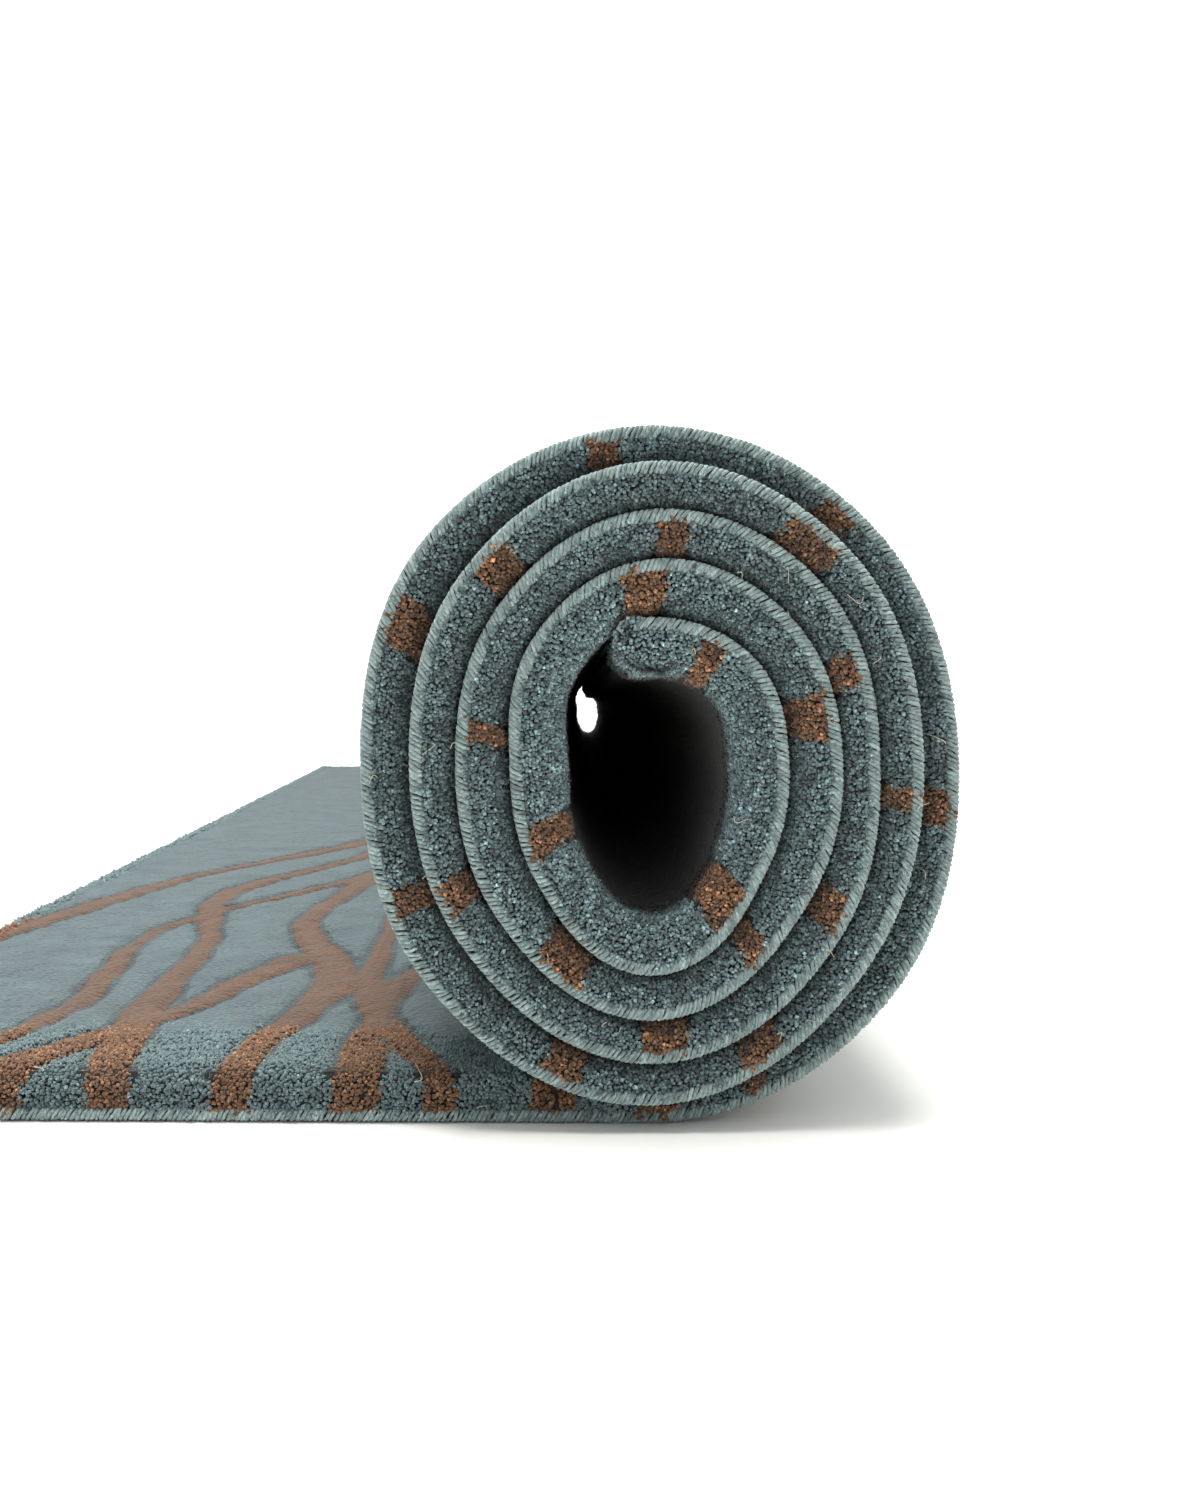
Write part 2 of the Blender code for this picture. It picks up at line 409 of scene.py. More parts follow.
@dataclass
class WavyLines:
    """Lines in brown that wander across the carpet from its near edge to its far edge.

    Each has its own place, bends and width. Neighbours meet and part again, and some lines
    stop for a stretch, with round ends.
    """

    spacing: float = 88 * MM
    tail_spacing: float = 31 * MM
    tail_start: float = 2085 * MM
    length: float = 2400 * MM
    broad: float = 5.9 * MM
    hairline: float = 0.8 * MM
    groove_depth: float = 1.7 * MM
    groove_width: float = 1.6 * MM
    swell: float = 0.2
    swell_length: float = 0.31
    drift: float = 46 * MM
    drift_swing: float = 22 * MM
    drift_length: float = 0.47
    nowhere: float = 9.0
    seed: int = 57

    def __post_init__(self) -> None:
        """Draws each line's place, bends and width."""
        draw = np.random.default_rng(self.seed)
        starts, place = [], 0.03
        while place < self.length - 0.015:
            starts.append(place)
            gap = self.tail_spacing if place > self.tail_start - self.spacing else self.spacing
            place += gap * draw.uniform(0.7, 1.3)
        self.start = np.array(starts)
        self.count = len(starts)
        self.waves = [self.wave(draw, (18, 38), (0.55, 0.95)), self.wave(draw, (5, 10), (0.2, 0.36)),
                      self.wave(draw, (0.5, 1.1), (0.05, 0.09))]
        self.half_width = self.broad * draw.uniform(0.7, 1.32, self.count)
        self.lean = -draw.uniform(0.02, 0.3, self.count)
        stopped = draw.random(self.count) < 0.45
        self.stop = np.where(stopped, draw.uniform(0.03, 0.5, self.count), self.nowhere)
        self.resume = self.stop + draw.uniform(0.05, 0.3, self.count)

    def wave(self, draw: np.random.Generator, size: tuple[float, float],
             length: tuple[float, float]) -> tuple[np.ndarray, ...]:
        """Returns each line's bend of one kind: its size, length and phase."""
        return (draw.uniform(*size, self.count) * MM, draw.uniform(*length, self.count),
                draw.uniform(0, math.tau, self.count))

    def centre(self, index: int, across: np.ndarray) -> tuple[np.ndarray, np.ndarray]:
        """Returns where a line's middle lies along the carpet, and how steeply it runs there.

        Args:
            index: which line.
            across: places across the carpet.

        Returns:
            The places along, and the slopes.
        """
        place = self.start[index] + self.lean[index] * across
        slope = np.full_like(across, self.lean[index])
        for size, length, phase in self.waves:
            angle = math.tau * across / length[index] + phase[index]
            place = place + size[index] * (np.sin(angle) - math.sin(phase[index]))
            slope = slope + size[index] * math.tau / length[index] * np.cos(angle)
        return place, slope

    def distance(self, along: np.ndarray, across: np.ndarray) -> np.ndarray:
        """Returns how far each place is from the edge of the nearest line, negative inside it.

        Args:
            along: places along the flat carpet.
            across: places across it.

        Returns:
            A distance for each place.
        """
        along, across = np.broadcast_arrays(np.asarray(along, float), np.asarray(across, float))
        nearest = np.full(along.shape, 1.0)
        for index in range(self.count):
            place, slope = self.centre(index, across)
            swell = 1 + self.swell * np.sin(math.tau * across / self.swell_length + 2.4 * index)
            aside = np.abs(along - place) / np.sqrt(1 + slope ** 2)
            beyond = np.maximum(np.minimum(across - self.stop[index], self.resume[index] - across), 0)
            gap = np.hypot(aside, beyond) - self.half_width[index] * swell
            nearest = np.minimum(nearest, gap)
        return nearest

    def groove(self, gap: np.ndarray) -> np.ndarray:
        """Returns how deep the pile is carved, given the distance from a line's edge."""
        return self.groove_depth * np.exp(-((gap - self.groove_width / 2) / self.groove_width) ** 2)

    def hairline_distance(self, along: np.ndarray, across: np.ndarray) -> np.ndarray:
        """Returns the same for the thin lines, which cross the carpet between the broad ones.

        Args:
            along: places along the flat carpet.
            across: places across it.

        Returns:
            A distance for each place.
        """
        along, across = np.broadcast_arrays(np.asarray(along, float), np.asarray(across, float))
        nearest = np.full(along.shape, 1.0)
        for index in range(0, self.count, 3):
            place, slope = self.centre(index, across)
            swing = np.sin(math.tau * across / self.drift_length + 1.7 * index)
            drift = self.drift + self.drift_swing * swing
            gap = np.abs(along - place - drift) / np.sqrt(1 + slope ** 2) - self.hairline
            nearest = np.minimum(nearest, gap)
        return nearest


# ------------------------------------------------------------------------------- mesh building


def mesh_of(name: str, points: np.ndarray, triangles: np.ndarray) -> bpy.types.Object:
    """Returns an object with these points and triangles, at the origin and shaded smooth.

    Args:
        name: the object's name.
        points: its points, as (point, xyz).
        triangles: three point numbers each.

    Returns:
        The object, linked into the scene.
    """
    mesh = bpy.data.meshes.new(name)
    mesh.vertices.add(len(points))
    mesh.vertices.foreach_set("co", points.astype(np.float32).ravel())
    mesh.loops.add(triangles.size)
    mesh.loops.foreach_set("vertex_index", triangles.astype(np.int32).ravel())
    mesh.polygons.add(len(triangles))
    mesh.polygons.foreach_set("loop_start", np.arange(0, triangles.size, 3, dtype=np.int32))
    mesh.polygons.foreach_set("use_smooth", np.ones(len(triangles), bool))
    mesh.update(calc_edges=True)
    made = bpy.data.objects.new(name, mesh)
    bpy.context.scene.collection.objects.link(made)
    return made


def set_values(made: bpy.types.Object, name: str, values: np.ndarray) -> None:
    """Stores one number or one vector for each of a mesh's points, for its material to read.

    Args:
        made: the object.
        name: the attribute's name.
        values: one row for each point.
    """
    kind = "FLOAT_VECTOR" if values.ndim == 2 else "FLOAT"
    attribute = made.data.attributes.new(name, kind, "POINT")
    key = "vector" if values.ndim == 2 else "value"
    attribute.data.foreach_set(key, values.astype(np.float32).ravel())


@dataclass(frozen=True)
class Bud:
    """The end of one tuft: a small closed bud, widest at its waist."""

    sides: int = 4
    waist: float = 0.5
    root: float = -0.4

    def template(self) -> tuple[np.ndarray, np.ndarray]:
        """Returns its points in its own frame, one wide and one long, and its triangles.

        Returns:
            The points and the triangles.
        """
        turn = np.arange(self.sides) * math.tau / self.sides
        ring = np.stack([np.cos(turn), np.sin(turn), np.full(self.sides, self.waist)], axis=1)
        points = np.concatenate([ring, [[0, 0, 1.0], [0, 0, self.root]]])
        here = np.arange(self.sides)
        there = (here + 1) % self.sides
        top = np.stack([here, there, np.full(self.sides, self.sides)], axis=1)
        bottom = np.stack([there, here, np.full(self.sides, self.sides + 1)], axis=1)
        return points, np.concatenate([top, bottom])


def copies(template: tuple[np.ndarray, np.ndarray], centres: np.ndarray, ways: np.ndarray,
           widths: np.ndarray, lengths: np.ndarray, draw: np.random.Generator
           ) -> tuple[np.ndarray, np.ndarray]:
    """Repeats a template at many places as one mesh.

    Args:
        template: its points and triangles.
        centres: where each copy's root is.
        ways: which way each copy points.
        widths, lengths: the size of each copy.
        draw: turns and roughens each copy.

    Returns:
        The points and triangles of all copies.
    """
    points, triangles = template
    count = len(centres)
    side = unit(np.cross(ways, unit(draw.normal(size=(count, 3)))))
    other = np.cross(ways, side)
    rough = 1 + draw.uniform(-0.22, 0.22, (count, len(points), 1))
    local = points[None] * rough
    made = (centres[:, None]
            + local[..., 0:1] * (side * widths[:, None])[:, None]
            + local[..., 1:2] * (other * widths[:, None])[:, None]
            + local[..., 2:3] * (ways * lengths[:, None])[:, None])
    shift = np.arange(count)[:, None, None] * len(points)
    return made.reshape(-1, 3), (triangles[None] + shift).reshape(-1, 3)


def strands(lines: np.ndarray, side_ways: np.ndarray, half_widths: np.ndarray,
            half_heights: np.ndarray, sides: int) -> tuple[np.ndarray, np.ndarray]:
    """Makes closed tubes of flattened yarn along many short lines, as one mesh.

    Args:
        lines: the middle of each tube, as (tube, point, xyz).
        side_ways: which way each tube is widest, in the same form.
        half_widths, half_heights: its half sizes, as (tube, point).
        sides: how many sides a tube has.

    Returns:
        The points and triangles of all tubes.
    """
    count, steps, _ = lines.shape
    tangents = unit(np.gradient(lines, axis=1))
    flat_ways = unit(side_ways - tangents * (side_ways * tangents).sum(-1, keepdims=True))
    proud_ways = np.cross(tangents, flat_ways)
    turn = np.arange(sides) * math.tau / sides
    rings = (lines[:, :, None]
             + flat_ways[:, :, None] * (half_widths[..., None] * np.cos(turn))[..., None]
             + proud_ways[:, :, None] * (half_heights[..., None] * np.sin(turn))[..., None])
    points = rings.reshape(count, steps * sides, 3)
    faces = []
    for step in range(steps - 1):
        for here in range(sides):
            there = (here + 1) % sides
            a, b = step * sides + here, step * sides + there
            c, d = b + sides, a + sides
            faces += [(a, b, c), (a, c, d)]
    last = (steps - 1) * sides
    for here in range(1, sides - 1):
        faces += [(0, here + 1, here), (last, last + here, last + here + 1)]
    shift = np.arange(count)[:, None, None] * steps * sides
    return points.reshape(-1, 3), (np.array(faces)[None] + shift).reshape(-1, 3)


# ------------------------------------------------------------------------------------ finishes


def add_node(tree: bpy.types.NodeTree, kind: str, inputs: dict[Any, Any] | None = None,
             **settings: Any) -> bpy.types.Node:
    """Adds a node.

    Args:
        tree: the material's tree.
        kind: the node's type, such as "ShaderNodeMath".
        inputs: for each socket, a value or another node's output.
        settings: the node's own properties.

    Returns:
        The node.
    """
    made = tree.nodes.new(kind)
    for name, value in settings.items():
        setattr(made, name, value)
    for socket, value in (inputs or {}).items():
        if isinstance(value, bpy.types.NodeSocket):
            tree.links.new(value, made.inputs[socket])
        else:
            made.inputs[socket].default_value = value
    return made


def new_material(name: str) -> tuple[bpy.types.Material, bpy.types.NodeTree, bpy.types.Node]:
    """Returns a material, its tree and its Principled shader.

    Args:
        name: the material's name.

    Returns:
        The three of them.
    """
    material = bpy.data.materials.new(name)
    material.use_nodes = True
    return material, material.node_tree, material.node_tree.nodes["Principled BSDF"]


@dataclass(frozen=True)
class LitAndShadedDye:
    """One colour of yarn, twice: its tip colour is painted light on the cut tips, its root colour
    painted shade down in the pile.
    """

    lit_tip: str
    root: str


# Painted light and shade: each tip colour is a lit copy and each root colour a shaded copy of one yarn
# colour.
TEAL = LitAndShadedDye(lit_tip="#7A9194", root="#1A282E")
BROWN = LitAndShadedDye(lit_tip="#8E6647", root="#24150B")


@dataclass(frozen=True)
class CutWoolTufts:
    """Dyed wool yarn, cut: matt, with a soft halo, painted light on the tips and painted shade at the
    roots.
    """

    roughness: float = 0.92
    sheen: float = 0.22
    sheen_roughness: float = 0.5
    fibre: float = 0.35 * MM

    def material(self) -> bpy.types.Material:
        """Returns the finish of separate tufts, which say how light they are, painted shade and
        highlight included, and which dye they are.

        Returns:
            The material.
        """
        material, tree, shader = new_material("cut_wool_tufts")
        tone = add_node(tree, "ShaderNodeAttribute", attribute_name="tone").outputs["Fac"]
        lit_tip = add_node(tree, "ShaderNodeAttribute", attribute_name="lit_tip").outputs["Fac"]
        brown = add_node(tree, "ShaderNodeAttribute", attribute_name="brown").outputs["Fac"]
        place = add_node(tree, "ShaderNodeTexCoord").outputs["Object"]
        fibres = add_node(tree, "ShaderNodeTexNoise",
                          {"Vector": place, "Scale": 1 / self.fibre, "Detail": 1.0})
        # Painted light and shade: along each tuft the colour runs from the root colour, painted shade,
        # to the tip colour, painted light.
        teal, rust = [add_node(tree, "ShaderNodeMix", {SHARE: lit_tip, FIRST: linear(dye.root),
                                                       SECOND: linear(dye.lit_tip)},
                               data_type="RGBA").outputs[MIXED] for dye in (TEAL, BROWN)]
        dyed = add_node(tree, "ShaderNodeMix", {SHARE: brown, FIRST: teal, SECOND: rust},
                        data_type="RGBA").outputs[MIXED]
        grain = add_node(tree, "ShaderNodeMapRange",
                         {"Value": fibres.outputs["Fac"], "From Min": 0.3, "From Max": 0.7,
                          "To Min": 0.5, "To Max": 1.5}).outputs[0]
        light = add_node(tree, "ShaderNodeMath", {0: grain, 1: tone}, operation="MULTIPLY").outputs[0]
        toned = add_node(tree, "ShaderNodeVectorMath", {0: dyed, "Scale": light}, operation="SCALE")
        tree.links.new(toned.outputs[0], shader.inputs["Base Color"])
        bump = add_node(tree, "ShaderNodeBump", {"Height": fibres.outputs["Fac"],
                                                 "Distance": 0.3 * MM, "Strength": 0.8})
        tree.links.new(bump.outputs[0], shader.inputs["Normal"])
        shader.inputs["Roughness"].default_value = self.roughness
        shader.inputs["Sheen Weight"].default_value = self.sheen
        shader.inputs["Sheen Roughness"].default_value = self.sheen_roughness
        return material


@dataclass(frozen=True)
class CutPileSurface:
    """The top of dense cut pile: tuft tips packed side by side with painted shade between them, brushed
    lighter and darker.
    """

    tuft: float = 1.7 * MM
    ragged: float = 2.2 * MM
    brushed: float = 26 * MM
    groove_shade: float = 0.4
    roughness: float = 0.95
    sheen: float = 0.22
    sheen_roughness: float = 0.45

    def material(self) -> bpy.types.Material:
        """Returns the finish of the pile where its tufts aren't modelled one by one.

        Returns:
            The material.
        """
        material, tree, shader = new_material("cut_pile_surface")
        flat = add_node(tree, "ShaderNodeAttribute", attribute_name="flat").outputs["Vector"]
        line = add_node(tree, "ShaderNodeAttribute", attribute_name="line").outputs["Fac"]
        hair = add_node(tree, "ShaderNodeAttribute", attribute_name="hairline").outputs["Fac"]
        shade = add_node(tree, "ShaderNodeAttribute", attribute_name="shade").outputs["Fac"]
        tufts = add_node(tree, "ShaderNodeTexVoronoi",
                         {"Vector": flat, "Scale": 1 / self.tuft, "Randomness": 0.9})
        ragged = add_node(tree, "ShaderNodeTexNoise",
                          {"Vector": flat, "Scale": 1 / self.ragged, "Detail": 2.0})
        brushed = add_node(tree, "ShaderNodeTexNoise",
                           {"Vector": flat, "Scale": 1 / self.brushed, "Detail": 4.0})
        torn = add_node(tree, "ShaderNodeMath", {0: ragged.outputs["Fac"], 1: 3.0, 2: line},
                        operation="MULTIPLY_ADD")
        brown = add_node(tree, "ShaderNodeMapRange",
                         {"Value": torn.outputs[0], "From Min": 1.1, "From Max": 1.9,
                          "To Min": 1.0, "To Max": 0.0}).outputs[0]
        thin = add_node(tree, "ShaderNodeMapRange",
                        {"Value": hair, "From Min": -0.4, "From Max": 0.6,
                         "To Min": 0.55, "To Max": 0.0}).outputs[0]
        dye = add_node(tree, "ShaderNodeMath", {0: brown, 1: thin}, operation="MAXIMUM").outputs[0]
        # Painted light and shade: each tuft cell takes the tip colour, painted light, in its middle and
        # the root colour, painted shade, at its rim.
        tips = add_node(tree, "ShaderNodeMapRange",
                        {"Value": tufts.outputs["Distance"], "From Min": 0.15, "From Max": 0.75,
                         "To Min": 0.44, "To Max": 0.2}).outputs[0]
        nap = add_node(tree, "ShaderNodeMapRange",
                       {"Value": brushed.outputs["Fac"], "From Min": 0.3, "From Max": 0.7,
                        "To Min": 0.72, "To Max": 1.16}).outputs[0]
        light = add_node(tree, "ShaderNodeMath", {0: tips, 1: nap}, operation="MULTIPLY").outputs[0]
        teal, rust = [add_node(tree, "ShaderNodeMix", {SHARE: light, FIRST: linear(yarn.root),
                                                       SECOND: linear(yarn.lit_tip)},
                               data_type="RGBA").outputs[MIXED] for yarn in (TEAL, BROWN)]
        dyed = add_node(tree, "ShaderNodeMix", {SHARE: dye, FIRST: teal, SECOND: rust},
                        data_type="RGBA").outputs[MIXED]
        # The carved groove beside a line, in mm from the line's edge: its middle and half width.
        beside = add_node(tree, "ShaderNodeMath", {0: line, 1: 1.0, 2: 1.6},
                          operation="COMPARE").outputs[0]
        # Painted shade: carved darkens the groove beside each line by groove_shade, and carries the
        # shade attribute's painted shade.
        carved = add_node(tree, "ShaderNodeMath", {0: beside, 1: -self.groove_shade, 2: shade},
                          operation="MULTIPLY_ADD").outputs[0]
        shaded = add_node(tree, "ShaderNodeVectorMath", {0: dyed, "Scale": carved}, operation="SCALE")
        tree.links.new(shaded.outputs[0], shader.inputs["Base Color"])
        bump = add_node(tree, "ShaderNodeBump",
                        {"Height": tufts.outputs["Distance"], "Distance": 1.0 * MM, "Strength": 0.7},
                        invert=True)
        tree.links.new(bump.outputs[0], shader.inputs["Normal"])
        shader.inputs["Roughness"].default_value = self.roughness
        shader.inputs["Sheen Weight"].default_value = self.sheen
        shader.inputs["Sheen Roughness"].default_value = self.sheen_roughness
        return material


@dataclass(frozen=True)
class KnottedBack:
    """The carpet's back: rows of small hard knots in a paler tone, with the lines showing through."""

    knot: tuple[float, float] = (2.6 * MM, 3.4 * MM)
    pale: str = "#9AA7A4"
    deep: str = "#647474"
    brown: str = "#8F7058"
    worn: float = 55 * MM
    ragged: float = 3 * MM
    roughness: float = 0.9
    sheen: float = 0.12

    def material(self) -> bpy.types.Material:
        """Returns the finish. Its knots are drawn about twice as coarse as real ones, to show.

        Returns:
            The material.
        """
        material, tree, shader = new_material("knotted_wool_back")
        flat = add_node(tree, "ShaderNodeAttribute", attribute_name="flat").outputs["Vector"]
        line = add_node(tree, "ShaderNodeAttribute", attribute_name="line").outputs["Fac"]
        parts = add_node(tree, "ShaderNodeSeparateXYZ", {0: flat})
        waves = []
        for axis, size in enumerate(self.knot):
            angle = add_node(tree, "ShaderNodeMath", {0: parts.outputs[axis], 1: math.pi / size},
                             operation="MULTIPLY").outputs[0]
            wave = add_node(tree, "ShaderNodeMath", {0: angle}, operation="SINE").outputs[0]
            waves.append(add_node(tree, "ShaderNodeMath", {0: wave}, operation="ABSOLUTE").outputs[0])
        knots = add_node(tree, "ShaderNodeMath", {0: waves[0], 1: waves[1]},
                         operation="MULTIPLY").outputs[0]
        worn = add_node(tree, "ShaderNodeTexNoise",
                        {"Vector": flat, "Scale": 1 / self.worn, "Detail": 4.0})
        ragged = add_node(tree, "ShaderNodeTexNoise",
                          {"Vector": flat, "Scale": 1 / self.ragged, "Detail": 1.0})
        torn = add_node(tree, "ShaderNodeMath", {0: ragged.outputs["Fac"], 1: 3.0, 2: line},
                        operation="MULTIPLY_ADD")
        brown = add_node(tree, "ShaderNodeMapRange",
                         {"Value": torn.outputs[0], "From Min": 0.9, "From Max": 2.1,
                          "To Min": 0.75, "To Max": 0.0}).outputs[0]
        tone = add_node(tree, "ShaderNodeMapRange",
                        {"Value": knots, "From Min": 0.0, "From Max": 0.8,
                         "To Min": 0.1, "To Max": 0.9}).outputs[0]
        teal = add_node(tree, "ShaderNodeMix", {SHARE: tone, FIRST: linear(self.deep),
                                                SECOND: linear(self.pale)},
                        data_type="RGBA").outputs[MIXED]
        dyed = add_node(tree, "ShaderNodeMix", {SHARE: brown, FIRST: teal, SECOND: linear(self.brown)},
                        data_type="RGBA").outputs[MIXED]
        patchy = add_node(tree, "ShaderNodeMix", {SHARE: worn.outputs["Fac"], FIRST: linear("#C9C9C9"),
                                                  SECOND: linear("#FFFFFF")},
                          data_type="RGBA").outputs[MIXED]
        shaded = add_node(tree, "ShaderNodeMix", {SHARE: 1.0, FIRST: dyed, SECOND: patchy},
                          data_type="RGBA", blend_type="MULTIPLY")
        tree.links.new(shaded.outputs[MIXED], shader.inputs["Base Color"])
        bump = add_node(tree, "ShaderNodeBump", {"Height": knots, "Distance": 0.6 * MM, "Strength": 0.8})
        tree.links.new(bump.outputs[0], shader.inputs["Normal"])
        shader.inputs["Roughness"].default_value = self.roughness
        shader.inputs["Sheen Weight"].default_value = self.sheen
        return material


@dataclass(frozen=True)
class BindingYarn:
    """Pale plied wool yarn whipped over the edge: matt, with a fine twist along each stitch."""

    pale: str = "#A0B2B0"
    deep: str = "#4A5D60"
    ply: float = 0.45 * MM
    roughness: float = 0.9
    sheen: float = 0.25
    sheen_roughness: float = 0.4

    def material(self) -> bpy.types.Material:
        """Returns the finish.

        Returns:
            The material.
        """
        material, tree, shader = new_material("whipped_binding_yarn")
        tone = add_node(tree, "ShaderNodeAttribute", attribute_name="tone").outputs["Fac"]
        twist = add_node(tree, "ShaderNodeAttribute", attribute_name="twist").outputs["Vector"]
        fibres = add_node(tree, "ShaderNodeTexNoise",
                          {"Vector": twist, "Scale": 1 / self.ply, "Detail": 2.0})
        mix = add_node(tree, "ShaderNodeMapRange",
                       {"Value": fibres.outputs["Fac"], "From Min": 0.3, "From Max": 0.7,
                        "To Min": 0.15, "To Max": 1.0}).outputs[0]
        dyed = add_node(tree, "ShaderNodeMix", {SHARE: mix, FIRST: linear(self.deep),
                                                SECOND: linear(self.pale)},
                        data_type="RGBA").outputs[MIXED]
        toned = add_node(tree, "ShaderNodeVectorMath", {0: dyed, "Scale": tone}, operation="SCALE")
        tree.links.new(toned.outputs[0], shader.inputs["Base Color"])
        bump = add_node(tree, "ShaderNodeBump", {"Height": fibres.outputs["Fac"],
                                                 "Distance": 0.3 * MM, "Strength": 0.7})
        tree.links.new(bump.outputs[0], shader.inputs["Normal"])
        shader.inputs["Roughness"].default_value = self.roughness
        shader.inputs["Sheen Weight"].default_value = self.sheen
        shader.inputs["Sheen Roughness"].default_value = self.sheen_roughness
        return material


@dataclass(frozen=True)
class LooseFibre:
    """A single undyed or dyed wool hair: thin, slightly glossy."""

    name: str
    colour: str
    roughness: float = 0.6
    uneven: float = 4 * MM

    def material(self) -> bpy.types.Material:
        """Returns the finish.

        Returns:
            The material.
        """
        material, tree, shader = new_material(self.name)
        place = add_node(tree, "ShaderNodeTexCoord").outputs["Object"]
        uneven = add_node(tree, "ShaderNodeTexNoise", {"Vector": place, "Scale": 1 / self.uneven})
        shade = add_node(tree, "ShaderNodeMix", {SHARE: uneven.outputs["Fac"], FIRST: linear("#B0B0B0"),
                                                 SECOND: linear("#FFFFFF")},
                         data_type="RGBA").outputs[MIXED]
        shaded = add_node(tree, "ShaderNodeMix", {SHARE: 1.0, FIRST: linear(self.colour), SECOND: shade},
                          data_type="RGBA", blend_type="MULTIPLY")
        tree.links.new(shaded.outputs[MIXED], shader.inputs["Base Color"])
        shader.inputs["Roughness"].default_value = self.roughness
        return material


# ------------------------------------------------------------------------------ the cloth itself


